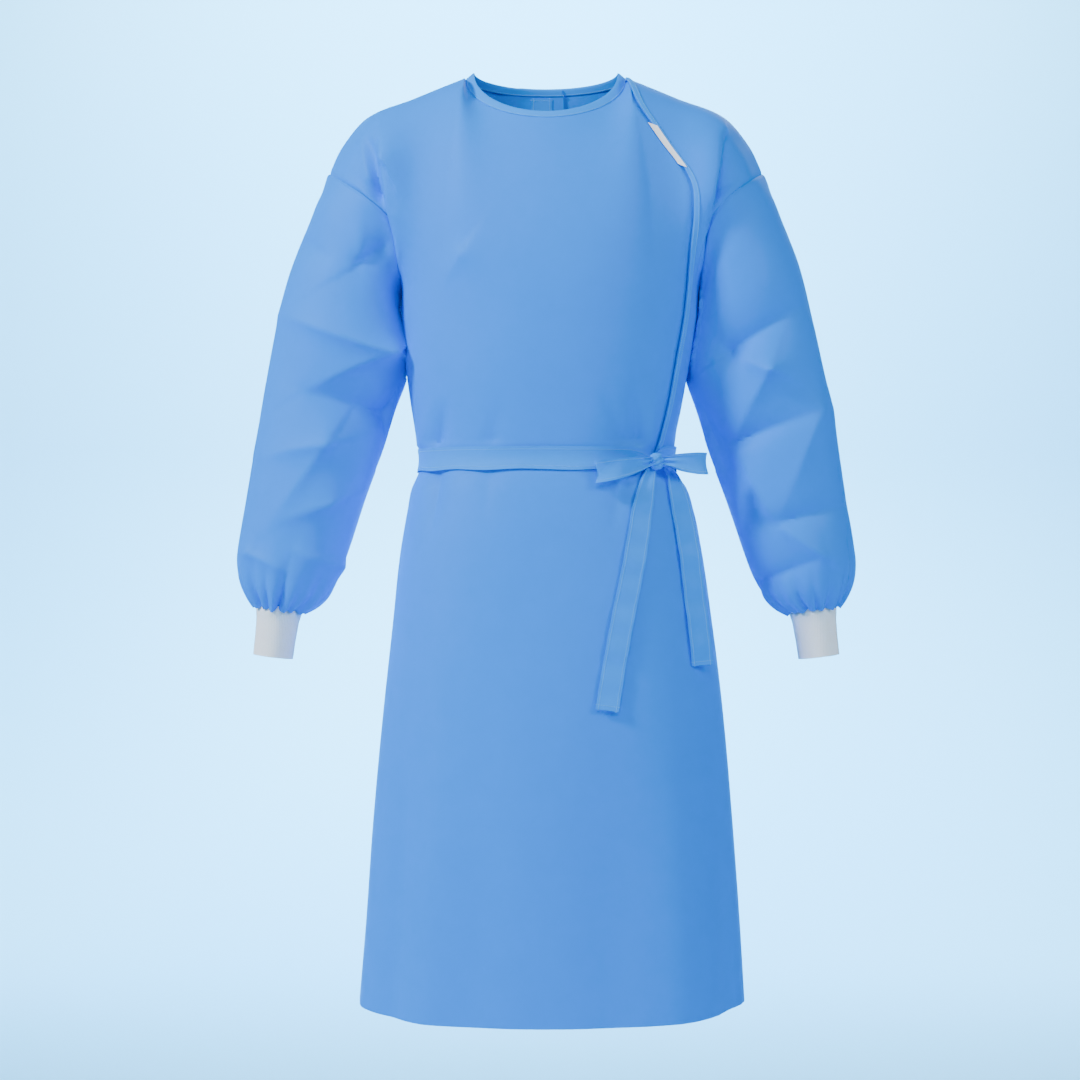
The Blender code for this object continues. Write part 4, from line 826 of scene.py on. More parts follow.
def cloth_piece(name, points, normals, node, closed_round=False):
    """A panel of the gown's cloth, from its outer points."""
    thickness = bpy.context.scene.gown_sizes.cloth_thickness
    mesh = thin_mesh(name, points, points - normals * thickness, closed_round)
    add_piece(name, mesh, cloth_finish(), "cloth", node)


def trim_piece(name, points, normals, share, node, closed_round=False):
    """A strip of trim from its outer points, with a share of the trims' thickness."""
    thickness = bpy.context.scene.gown_sizes.trim_thickness * share
    mesh = thin_mesh(name, points, points - normals * thickness, closed_round)
    add_piece(name, mesh, trim_finish(), "trim", node)


def add_stitch_lines(name, points, normals, lift, columns=(), rows=()):
    """Keeps the lines of stitches that run along some columns and rows of a strip."""
    raised = points + normals * lift
    STITCH_LINES[name] = [raised[:, k] for k in columns] + [raised[k] for k in rows]


def soft_normals(normals):
    """Outward directions evened out between neighbours across a panel."""
    normals = normals.copy()
    normals[:, 1:-1] = unit(normals[:, :-2] + 2 * normals[:, 1:-1] + normals[:, 2:])
    return normals


def lap_place(row):
    """The girth place of the lap's free edge on a row, between samples."""
    if row >= 2:
        return SIDE_LEFT - SHOULDER_SHARE * SIDE_RIGHT
    samples = np.linspace(CENTRE_FRONT + 0.02, SIDE_LEFT - 0.005, 400)
    points = plain_body(samples, row, FRONT)
    past = points[:, 0] - smooth_rows(LAP_EDGE, points[:, 2])[:, 0]
    first = max(int(np.argmax(past > 0)), 1)
    step = past[first - 1] / (past[first - 1] - past[first])
    return float(samples[first - 1] + step * (samples[first] - samples[first - 1]))


def fine_rows():
    """Every row of the body cloth: skirt, the step under the belt, bodice and yoke."""
    skirt = np.linspace(HEM_Z, WAIST_STEP_Z - 0.004, SKIRT_ROWS)
    bodice = np.linspace(WAIST_SEAM_Z, UNDERARM_Z, BODICE_ROWS)
    levels = np.concatenate([skirt, [WAIST_STEP_Z], bodice])
    rows = [row_of(z) for z in levels]
    return rows + list(1 + np.linspace(UNDERARM_SHARE, 1, YOKE_ROWS))


def side_shares(corner, end, columns):
    """Shares of a panel's width with one column on the neck's corner."""
    before = int(round(columns * corner / end))
    return np.concatenate([
        np.array(SEAM_SHARES) * SIDE_RIGHT / end,
        np.linspace(0, corner, before + 1)[1:] / end,
        np.linspace(corner, end, columns - before + 1)[1:] / end,
    ])


def sunk_under(flat, tail, depth):
    """How deep the places of a row lie: level, then over the step, then under the other layer."""
    step = depth * ease(np.arange(1, STEP_COLUMNS + 1) / STEP_COLUMNS)
    return np.concatenate([0 * flat, step, depth + 0 * tail])


def front_cloth_grid():
    """Points of the main front: full width below the waist, under the lap above it."""
    neck_end = SIDE_LEFT - SHOULDER_SHARE * SIDE_RIGHT
    shares = side_shares(SHOULDER_SHARE * SIDE_RIGHT, neck_end - SIDE_RIGHT, PANEL_COLUMNS)
    girths, drops, rows = [], [], fine_rows()
    for row in rows:
        lap = lap_place(row)
        low = row < row_of(WAIST_STEP_Z) - 1e-6
        near = lap - girth_share(row, lap, FRONT, LAP_ROLL)
        reach = UNDERLAP + (UNDERLAP_AT_NECK - UNDERLAP) * ease((row - 1.5) / 0.5)
        reach = min(girth_share(row, lap, FRONT, reach), UNDERLAP_SIDE_SHARE * (SIDE_LEFT - lap))
        start = lap + girth_share(row, lap, FRONT, UNDERLAP_START)
        end = SIDE_LEFT if low else lap + reach
        ramp = np.linspace(near, start, STEP_COLUMNS + 1)[1:]
        tail = np.linspace(start, end, UNDERLAP_COLUMNS)[1:]
        flat = SIDE_RIGHT + shares * (near - SIDE_RIGHT)
        girths.append(np.concatenate([flat, ramp, tail]))
        drops.append(sunk_under(flat, tail, 0.0 if low else LAP_STEP))
    girths, drops = np.array(girths), np.array(drops)
    points, normals = cloth(girths, np.array(rows)[:, None], FRONT)
    normals = soft_normals(normals)
    return points - normals * drops[..., None], normals


def side_cloth_grid():
    """Points of the wearer's-left front above the waist, and those of its bound edge."""
    rows = [row for row in fine_rows() if row > row_of(WAIST_SEAM_Z) - 1e-6]
    girths, bound = [], []
    for row in rows:
        lap = lap_place(row)
        width = girth_share(row, lap + 0.01, FRONT, LAP_BINDING_WIDTH)
        girths.append(np.linspace(lap, SIDE_LEFT, SIDE_PIECE_COLUMNS))
        bound.append(lap + width * np.linspace(0, 1, STRIP_COLUMNS))
    rows = np.array(rows)[:, None]
    points, normals = cloth(np.array(girths), rows, FRONT)
    strip, strip_normals = cloth(np.array(bound), rows, FRONT)
    return points, soft_normals(normals), strip, soft_normals(strip_normals)


def back_cloth_grids():
    """Points of the outer back, and of the inner back that runs under it."""
    outer, inner, drops = [], [], []
    rows = fine_rows()
    for row in rows:
        reach = BACK_LAP_OUTER[0] + (BACK_LAP_OUTER[1] - BACK_LAP_OUTER[0]) * row / 2
        hidden = BACK_LAP_INNER[0] + (BACK_LAP_INNER[1] - BACK_LAP_INNER[0]) * row / 2
        corner = SHOULDER_SHARE * SIDE_RIGHT
        shares = side_shares(corner, SIDE_RIGHT + reach, PANEL_COLUMNS - 20)
        outer.append(SIDE_LEFT + shares * (SIDE_RIGHT + reach))
        fold = reach + girth_share(row, reach, BACK, INNER_BACK_ROLL)
        near = reach + (fold - reach) * 0.18
        shares = side_shares(corner, SIDE_RIGHT - fold, PANEL_COLUMNS - 50)
        flat = SIDE_RIGHT - shares * (SIDE_RIGHT - fold)
        ramp = np.linspace(fold, near, STEP_COLUMNS + 1)[1:]
        tail = np.linspace(near, -hidden, INNER_BACK_COLUMNS)[1:]
        inner.append(np.concatenate([flat, ramp, tail])[::-1])
        drops.append(sunk_under(flat, tail, LAP_STEP)[::-1])
    rows = np.array(rows)[:, None]
    left, left_normals = cloth(np.array(outer), rows, BACK)
    right, right_normals = cloth(np.array(inner), rows, BACK)
    right_normals = soft_normals(right_normals)
    right = right - right_normals * np.array(drops)[..., None]
    return left, soft_normals(left_normals), right, right_normals


def sleeve_cloth_grid(side):
    """Points of a sleeve with its folds and gathers."""
    turn = np.linspace(0, 2 * math.pi, SLEEVE_COLUMNS + 1)[:-1]
    even_places = np.linspace(SLEEVE_FIRST_PLACE, 1.0, SLEEVE_LENGTH_ROWS)
    along = np.concatenate([SLEEVE_SEAM_PLACES, even_places])
    turn_grid, along_grid = np.meshgrid(turn, along)
    point = plain_sleeve(side, turn_grid, along_grid)
    normal = sleeve_normal(side, turn_grid, along_grid)
    folds = RIGHT_ARM_FOLDS if side < 0 else LEFT_ARM_FOLDS
    front = np.clip(-normal[..., 1] / SLEEVE_TURN_FADE, 0, 1)
    back = np.clip(normal[..., 1] / SLEEVE_TURN_FADE, 0, 1)
    height = fold_height(folds, point[..., 0], point[..., 2]) * front
    height = height + fold_height(ARM_BACK_FOLDS, side * point[..., 0], point[..., 2]) * back
    height = height * ease(along_grid / SLEEVE_FOLD_START)
    height = height * (1 - ease((along_grid - SLEEVE_FOLD_END) / (1 - SLEEVE_FOLD_END)))
    fading = (along_grid - ARM_TUCK_START) / (ARM_TUCK_END - ARM_TUCK_START)
    tucked = ease(along_grid / ARM_TUCK_START) * (1 - ease(fading))
    tucked = tucked * front * ease((ARM_TUCK_TOP - point[..., 2]) / ARM_TUCK_DROP)
    height = height - ARM_TUCK * tucked
    height = height + gather_height(side, turn_grid, along_grid)
    head = ease(along_grid / 0.03)
    height = height + SEAM_STAND * ease(along_grid / 0.006) * (1 - ease((along_grid - 0.01) / 0.05))
    height = height + 0.0007 * head * np.sin(4 * turn_grid + 9 * along_grid + side)
    return point + normal * height[..., None], normal


def gather_height(side, turn, along):
    """Gathers of the sleeve's end: uneven, and deeper towards the cuff."""
    total = 0 * turn
    for gather in GATHERS:
        grown = ease((along - gather.start) / (1 - gather.start)) ** gather.power
        wave = np.abs(np.sin(gather.count / 2 * turn + gather.shift * side))
        total = total + gather.height * grown * (wave - gather.level)
    uneven_share = 1 + 0.35 * np.sin(2 * turn + side) + 0.2 * np.sin(5 * turn - side)
    return total * uneven_share


class GownSizes(bpy.types.PropertyGroup):
    """Sizes that a user would change."""

    cloth_thickness: bpy.props.FloatProperty(
        name="Cloth", description="Thickness of the gown's cloth", default=CLOTH_THICKNESS,
        unit="LENGTH", min=0.0003, max=0.003)
    trim_thickness: bpy.props.FloatProperty(
        name="Trim", description="Thickness of bindings, belt and tape", default=TRIM_THICKNESS,
        unit="LENGTH", min=0.0003, max=0.003)
    stitch_pitch: bpy.props.FloatProperty(
        name="Stitch pitch", description="Distance from one stitch to the next",
        default=STITCH_PITCH, unit="LENGTH", min=0.001, max=0.01)
    knit_depth: bpy.props.FloatProperty(
        name="Rib depth", description="Height of the cuffs' knitted ribs", default=RIB_DEPTH,
        unit="LENGTH", min=0.0, max=0.002)


class GownColours(bpy.types.PropertyGroup):
    """Colours that a user would change."""

    cloth: bpy.props.FloatVectorProperty(
        name="Cloth", description="Colour of the gown's cloth", subtype="COLOR", size=3,
        default=(0.001, 0.250, 0.970), min=0.0, max=1.0)
    trim: bpy.props.FloatVectorProperty(
        name="Trim", description="Colour of bindings, belt and tape", subtype="COLOR", size=3,
        default=(0.003, 0.285, 0.975), min=0.0, max=1.0)
    thread: bpy.props.FloatVectorProperty(
        name="Thread", description="Colour of the stitches", subtype="COLOR", size=3,
        default=(0.16, 0.60, 1.0), min=0.0, max=1.0)
    knit: bpy.props.FloatVectorProperty(
        name="Knit", description="Colour of the cuffs", subtype="COLOR", size=3,
        default=(0.94, 0.94, 1.0), min=0.0, max=1.0)
    backdrop: bpy.props.FloatVectorProperty(
        name="Backdrop", description="Colour of the floor and wall", subtype="COLOR", size=3,
        default=(0.34, 0.78, 0.99), min=0.0, max=1.0)


def cloth_grain_group():
    """Mottle of pressed fibres: a colour factor, a fine height and a roughness."""
    found = bpy.data.node_groups.get("cloth_grain")
    if found:
        return found
    tree = bpy.data.node_groups.new("cloth_grain", "ShaderNodeTree")
    for name, value in (("Fibre Scale", 900.0), ("Mottle Scale", 28.0), ("Bond Pitch", 0.0022)):
        socket = tree.interface.new_socket(name, in_out="INPUT", socket_type="NodeSocketFloat")
        socket.default_value = value
    for name in ("Mottle", "Height", "Roughness"):
        tree.interface.new_socket(name, in_out="OUTPUT", socket_type="NodeSocketFloat")
    nodes, links = tree.nodes, tree.links
    given = nodes.new("NodeGroupInput")
    out = nodes.new("NodeGroupOutput")
    place = nodes.new("ShaderNodeTexCoord")
    fibre = nodes.new("ShaderNodeTexNoise")
    fibre.inputs["Detail"].default_value = 3.0
    mottle = nodes.new("ShaderNodeTexNoise")
    mottle.inputs["Detail"].default_value = 4.0
    mottle.inputs["Roughness"].default_value = 0.6
    bond = nodes.new("ShaderNodeTexVoronoi")
    pitch = nodes.new("ShaderNodeMath")
    pitch.operation = "DIVIDE"
    pitch.inputs[0].default_value = 1.0
    dimple = nodes.new("ShaderNodeMapRange")
    dimple.inputs["From Min"].default_value = 0.15
    dimple.inputs["From Max"].default_value = 0.45
    total = nodes.new("ShaderNodeMath")
    total.operation = "MULTIPLY_ADD"
    total.inputs[1].default_value = 0.55
    rough = nodes.new("ShaderNodeMapRange")
    rough.inputs["To Min"].default_value = 0.52
    rough.inputs["To Max"].default_value = 0.68
    links.new(given.outputs["Fibre Scale"], fibre.inputs["Scale"])
    links.new(given.outputs["Mottle Scale"], mottle.inputs["Scale"])
    links.new(given.outputs["Bond Pitch"], pitch.inputs[1])
    links.new(pitch.outputs[0], bond.inputs["Scale"])
    for texture in (fibre, mottle, bond):
        links.new(place.outputs["Object"], texture.inputs["Vector"])
    links.new(bond.outputs["Distance"], dimple.inputs["Value"])
    links.new(dimple.outputs["Result"], total.inputs[0])
    links.new(fibre.outputs["Fac"], total.inputs[2])
    links.new(mottle.outputs["Fac"], rough.inputs["Value"])
    links.new(mottle.outputs["Fac"], out.inputs["Mottle"])
    links.new(total.outputs[0], out.inputs["Height"])
    links.new(rough.outputs["Result"], out.inputs["Roughness"])
    return tree


def fabric_finish(name, colour, shade=0.93, bump=0.15, sheen=0.0, mottle_scale=28.0, specular=0.12):
    """A matt cloth: two close tones mixed by the grain's mottle, with a fine raised texture."""
    found = bpy.data.materials.get(name)
    if found:
        return found
    finish = bpy.data.materials.new(name)
    finish.use_nodes = True
    nodes, links = finish.node_tree.nodes, finish.node_tree.links
    shader = nodes["Principled BSDF"]
    grain = nodes.new("ShaderNodeGroup")
    grain.node_tree = cloth_grain_group()
    grain.inputs["Mottle Scale"].default_value = mottle_scale
    mix = nodes.new("ShaderNodeMix")
    mix.data_type = "RGBA"
    mix.inputs["A"].default_value = (*(np.array(colour) * shade), 1)
    mix.inputs["B"].default_value = (*colour, 1)
    raised = nodes.new("ShaderNodeBump")
    raised.inputs["Strength"].default_value = bump
    raised.inputs["Distance"].default_value = 0.0004
    links.new(grain.outputs["Mottle"], mix.inputs["Factor"])
    links.new(mix.outputs["Result"], shader.inputs["Base Color"])
    links.new(grain.outputs["Height"], raised.inputs["Height"])
    links.new(raised.outputs["Normal"], shader.inputs["Normal"])
    links.new(grain.outputs["Roughness"], shader.inputs["Roughness"])
    shader.inputs["Sheen Weight"].default_value = sheen
    shader.inputs["Sheen Roughness"].default_value = 0.4
    shader.inputs["Specular IOR Level"].default_value = specular
    return finish


def cloth_finish():
    """The gown's blue cloth."""
    return fabric_finish("cloth_blue", tuple(bpy.context.scene.gown_colours.cloth))


def trim_finish():
    """The bindings, belt and tape, a little lighter than the cloth."""
    return fabric_finish("trim_blue", tuple(bpy.context.scene.gown_colours.trim), mottle_scale=60.0)


def thread_finish():
    """The pale blue stitches."""
    colour = tuple(bpy.context.scene.gown_colours.thread)
    return fabric_finish("thread_blue", colour, shade=0.8, bump=0.1, mottle_scale=400.0)


def knit_finish():
    """The white knit of the cuffs."""
    colour = tuple(bpy.context.scene.gown_colours.knit)
    return fabric_finish("knit_white", colour, shade=0.92, bump=0.5, sheen=0.2, mottle_scale=160.0)


def tab_finish():
    """The smooth white tab."""
    return fabric_finish("tab_white", (0.95, 0.95, 1.0), shade=0.95, bump=0.05, mottle_scale=90.0)


class GOWN_OT_front(bpy.types.Operator):
    """Main front and the wearer's-left front, with the bound edge of the lap"""

    bl_idname = "gown.front"
    bl_label = "Front panels"

    def execute(self, context):
        trim = context.scene.gown_sizes.trim_thickness
        cloth_piece("front_cloth", *front_cloth_grid(), "front_main")
        points, normals, strip, strip_normals = side_cloth_grid()
        cloth_piece("front_side_cloth", points, normals, "front_side")
        above = strip[:, 0, 2] > BELT_Z + BELT_WIDTH / 2 - LAP_UNDER_BELT
        strip, strip_normals = strip[above], strip_normals[above]
        across = np.linspace(0, 1, STRIP_COLUMNS)
        round_edge = 0.55 + 0.45 * np.sqrt(np.clip(1 - (2 * across - 1) ** 6, 0, 1))
        lift = (TRIM_GAP + trim * round_edge)[None, :, None]
        trim_piece("lap_binding_tape", strip + strip_normals * lift, strip_normals,
                   LAP_BINDING_SHARE, "lap_binding")
        add_stitch_lines("lap", strip, strip_normals, TRIM_GAP + trim, columns=(1, -3))
        return {"FINISHED"}


class GOWN_OT_backs(bpy.types.Operator):
    """Outer and inner back, and the tape of the closure inside the neck"""

    bl_idname = "gown.backs"
    bl_label = "Back panels"

    def execute(self, context):
        sizes = context.scene.gown_sizes
        left, left_normals, right, right_normals = back_cloth_grids()
        cloth_piece("back_left_cloth", left, left_normals, "back_left")
        cloth_piece("back_right_cloth", right, right_normals, "back_right")
        ends = [girth_at(x, 1.9, BACK, -0.05, 0.05) for x in TAPE_X]
        girths = np.linspace(min(ends), max(ends), STRIP_COLUMNS)
        rows = 2 - np.linspace(TAPE_TOP, TAPE_END, TAPE_ROWS)[::-1]
        points, normals = cloth(girths[None], rows[:, None], BACK)
        points = points - normals * (LAP_STEP + sizes.cloth_thickness + TRIM_GAP)
        trim_piece("back_tape_strip", points, normals, TAPE_SHARE, "back_tape")
        inward = -(sizes.trim_thickness * TAPE_SHARE + TAPE_STITCH_LIFT)
        add_stitch_lines("tape", points, normals, inward, columns=(1, -2), rows=(-2,))
        return {"FINISHED"}


class GOWN_OT_sleeves(bpy.types.Operator):
    """Both sleeves, folded as worn and gathered into the cuffs"""

    bl_idname = "gown.sleeves"
    bl_label = "Sleeves"

    def execute(self, context):
        for name, side in SIDES:
            cloth_piece("sleeve_" + name + "_cloth", *sleeve_cloth_grid(side), "sleeve_" + name, True)
        return {"FINISHED"}


class GOWN_OT_cuffs(bpy.types.Operator):
    """Knitted cuffs with fine ribs"""

    bl_idname = "gown.cuffs"
    bl_label = "Cuffs"

    def execute(self, context):
        sizes = context.scene.gown_sizes
        turn = np.linspace(0, 2 * math.pi, CUFF_RIBS * CUFF_RIB_COLUMNS + 1)[:-1]
        table = np.array(CUFF_RINGS)
        order = np.argsort(table[:, 1])
        levels = np.linspace(table[:, 1].max(), table[:, 1].min(), CUFF_ROWS)
        centre_x = np.interp(levels, table[order, 1], table[order, 0])
        radius = np.interp(levels, table[order, 1], table[order, 2])
        for name, side in SIDES:
            across = np.array([math.cos(CUFF_TILT) * side, 0, math.sin(CUFF_TILT)])
            way = np.cos(turn)[:, None] * across - np.sin(turn)[:, None] * np.array([0, 1, 0])
            centre = np.stack([centre_x * side, SHOULDER_Y + 0 * levels, levels], -1)
            wave = 1 + 0.018 * np.sin(2 * turn + side) + 0.01 * np.sin(5 * turn)
            points = centre[:, None] + way[None] * (radius[:, None] * wave[None])[..., None]
            normals = np.repeat(way[None], CUFF_ROWS, axis=0)
            mesh = thin_mesh("cuff_" + name + "_knit", points, points - normals * CUFF_WALL, True)
            mesh = ribbed(mesh, centre[0], centre[-1], sizes.knit_depth)
            add_piece("cuff_" + name + "_knit", mesh, knit_finish(), "knit", "cuff_" + name)
        return {"FINISHED"}


def value_node(tree, kind, operation, *given):
    """A math node with its inputs linked or set, in order."""
    node = tree.nodes.new(kind)
    node.operation = operation
    for slot, value in zip(node.inputs, given):
        if isinstance(value, bpy.types.NodeSocket):
            tree.links.new(value, slot)
        else:
            slot.default_value = value
    return node.outputs[0] if kind == "ShaderNodeMath" else node


def geometry_tree(name, inputs):
    """A new geometry tree with named number inputs and a material, and the node that gives them."""
    tree = bpy.data.node_groups.new(name, "GeometryNodeTree")
    sockets = [("Geometry", "Geometry")] + list(inputs) + [("Material", "Material")]
    for label, kind in sockets:
        tree.interface.new_socket(label, in_out="INPUT", socket_type="NodeSocket" + kind)
    tree.interface.new_socket("Geometry", in_out="OUTPUT", socket_type="NodeSocketGeometry")
    return tree, tree.nodes.new("NodeGroupInput")


def end_tree(tree, given, shape):
    """Ends a geometry tree: what it placed is made real and gets its material."""
    real = tree.nodes.new("GeometryNodeRealizeInstances")
    finish = tree.nodes.new("GeometryNodeSetMaterial")
    out = tree.nodes.new("NodeGroupOutput")
    tree.links.new(shape, real.inputs["Geometry"])
    tree.links.new(real.outputs["Geometry"], finish.inputs["Geometry"])
    tree.links.new(given.outputs["Material"], finish.inputs["Material"])
    tree.links.new(finish.outputs["Geometry"], out.inputs["Geometry"])
    return tree


def rib_tree():
    """Geometry nodes that raise upright ribs round a tube."""
    found = bpy.data.node_groups.get("knit_ribs")
    if found:
        return found
    inputs = [("Ribs", "Float"), ("Depth", "Float"), ("Axis Point", "Vector")]
    tree, given = geometry_tree("knit_ribs", inputs)
    nodes, links = tree.nodes, tree.links
    place = nodes.new("GeometryNodeInputPosition")
    normal = nodes.new("GeometryNodeInputNormal")
    apart = value_node(tree, "ShaderNodeVectorMath", "SUBTRACT", place.outputs[0],
                       given.outputs["Axis Point"]).outputs[0]
    split = nodes.new("ShaderNodeSeparateXYZ")
    links.new(apart, split.inputs[0])
    angle = value_node(tree, "ShaderNodeMath", "ARCTAN2", split.outputs["Y"], split.outputs["X"])
    turned = value_node(tree, "ShaderNodeMath", "MULTIPLY", angle, given.outputs["Ribs"])
    wave = value_node(tree, "ShaderNodeMath", "SINE", turned)
    height = value_node(tree, "ShaderNodeMath", "MULTIPLY", wave, given.outputs["Depth"])
    offset = nodes.new("ShaderNodeVectorMath")
    offset.operation = "SCALE"
    links.new(normal.outputs[0], offset.inputs[0])
    links.new(height, offset.inputs["Scale"])
    moved = nodes.new("GeometryNodeSetPosition")
    links.new(given.outputs["Geometry"], moved.inputs["Geometry"])
    links.new(offset.outputs[0], moved.inputs["Offset"])
    return end_tree(tree, given, moved.outputs["Geometry"])


def socket_key(tree, name):
    """The identifier of a tree's input."""
    for item in tree.interface.items_tree:
        if item.item_type == "SOCKET" and item.in_out == "INPUT" and item.name == name:
            return item.identifier
    raise KeyError(name)


def evaluated_mesh(name, mesh, tree, values):
    """The plain mesh that a geometry node tree makes of a mesh."""
    helper = bpy.data.objects.new(name + "_helper", mesh)
    bpy.context.scene.collection.objects.link(helper)
    modifier = helper.modifiers.new("shape", "NODES")
    modifier.node_group = tree
    for key, value in values.items():
        modifier[socket_key(tree, key)] = value
    graph = bpy.context.evaluated_depsgraph_get()
    result = bpy.data.meshes.new_from_object(helper.evaluated_get(graph), depsgraph=graph)
    helper.modifiers.remove(modifier)
    bpy.data.objects.remove(helper)
    result.name = name
    return result


def ribbed(mesh, top, bottom, depth):
    """A cuff's mesh with its knitted ribs raised."""
    middle = (np.asarray(top) + np.asarray(bottom)) / 2
    values = {
        "Ribs": float(CUFF_RIBS), "Depth": float(depth),
        "Axis Point": tuple(float(v) for v in middle), "Material": knit_finish(),
    }
    result = evaluated_mesh(mesh.name, mesh, rib_tree(), values)
    result.shade_smooth()
    return result


class GOWN_OT_neck(bpy.types.Operator):
    """Neck binding in three stretches"""

    bl_idname = "gown.neck"
    bl_label = "Neck binding"

    def execute(self, context):
        front_start = SIDE_RIGHT + SHOULDER_SHARE * SIDE_RIGHT + NECK_CORNER_GAP
        front = np.linspace(front_start, 1 - front_start, BINDING_FRONT_COLUMNS)
        self.band("neck_binding_front", front, FRONT, 0.0)
        back_start = SIDE_LEFT + SHOULDER_SHARE * SIDE_RIGHT + NECK_CORNER_GAP
        reach = BACK_LAP_OUTER[1]
        outer = np.linspace(back_start, 1 + reach, BINDING_BACK_COLUMNS)
        self.band("neck_binding_back_left", outer, BACK, 0.0)
        inner = np.linspace(-BACK_LAP_INNER[1], 1 - back_start, BINDING_BACK_COLUMNS)
        rising = ease((inner - reach - INNER_BINDING_LEVEL) / INNER_BINDING_RISE)
        sunk = (BINDING_THICKNESS + TRIM_GAP) * (1 - rising)
        self.band("neck_binding_back_right", inner, BACK, sunk)
        return {"FINISHED"}

    def band(self, node, girths, facing, sunk):
        """One stretch of the binding, rounded towards the rim and sunk where it runs under."""
        edge = neck_point(NECK_CLOTH, girths, facing)
        rim = neck_point(NECK_RIM, girths, facing)
        across = unit(rim - edge)
        normals = unit(np.cross(unit(np.gradient(edge, axis=0)), across))
        share = np.linspace(0, 1, BINDING_ROWS)
        rounded = np.sqrt(np.clip(1 - share**6, 0, 1))
        rounded[-1] = BINDING_RIM_SHARE
        out = BINDING_PROUD - BINDING_THICKNESS / 2 * (1 - rounded)[:, None] - sunk + 0 * girths
        points = edge + across * TRIM_GAP + (rim - edge - across * TRIM_GAP) * share[:, None, None]
        points = points + normals * out[..., None]
        inner = points - normals * (BINDING_THICKNESS * rounded)[:, None, None]
        add_piece(node + "_tape", thin_mesh(node + "_tape", points, inner), trim_finish(), "trim", node)
        STITCH_LINES[node] = [points[1] + normals * NECK_STITCH_LIFT, inner[1] - normals * NECK_STITCH_LIFT]


class GOWN_OT_belt(bpy.types.Operator):
    """Belt round the waist, drawn in at the knot"""

    bl_idname = "gown.belt"
    bl_label = "Belt"

    def execute(self, context):
        points, normals = belt_grid()
        trim_piece("belt_band", points, normals, 1.0, "belt", True)
        round_points, round_normals = (np.concatenate([grid, grid[:, :1]], axis=1)
                                       for grid in (points, normals))
        add_stitch_lines("belt", round_points, round_normals, STITCH_LIFT, rows=(1, -2))
        return {"FINISHED"}


def all_round(shape, girths, rows):
    """The plain body, or its outward direction, read all the way round from both of its faces."""
    is_front = (girths >= SIDE_RIGHT) & (girths <= SIDE_LEFT)
    return np.where(is_front[..., None], shape(girths, rows, FRONT), shape(girths, rows, BACK))


def belt_grid():
    """Points of the belt: narrower and drawn together where it goes into the knot."""
    girths = np.linspace(0, 1, BELT_COLUMNS + 1)[:-1]
    share = np.linspace(-1, 1, BELT_ROWS)
    x = all_round(plain_body, girths, row_of(BELT_Z))[:, 0]
    is_front = (girths >= SIDE_RIGHT) & (girths <= SIDE_LEFT)
    near_left = np.exp(-(np.clip(KNOT_X - x, 0, 1) / DRAWN_REACH[0]) ** 2)
    near_right = np.exp(-(np.clip(x - KNOT_X, 0, 1) / DRAWN_REACH[1]) ** 2)
    near = np.where(x < KNOT_X, near_left, near_right) * is_front
    narrow = 1 - DRAWN_SHARE * near
    shift = BELT_LEFT_RISE * ease((x - KNOT_X) / BELT_LEFT_RISE_RUN) * is_front - DRAWN_DROP * near
    z = BELT_Z + shift + BELT_WIDTH / 2 * share[:, None] * narrow
    z = z + BELT_WAVE * np.sin(22 * math.pi * girths) * (1 - share[:, None])
    girth_grid = np.broadcast_to(girths, z.shape)
    points = all_round(plain_body, girth_grid, row_of(z))
    normals = all_round(plain_normal, girth_grid, row_of(z))
    flat = unit(normals * np.array([1, 1, 0]))
    pleats = DRAWN_PLEAT * near * np.sin(share[:, None] * 9)
    lift = BELT_LIFT + BELT_WALL - BELT_SEAT + DRAWN_LIFT * near + pleats
    lift = lift + BELT_WAVE * np.sin(14 * math.pi * girths) * share[:, None] ** 2
    return points + flat * lift[..., None], flat


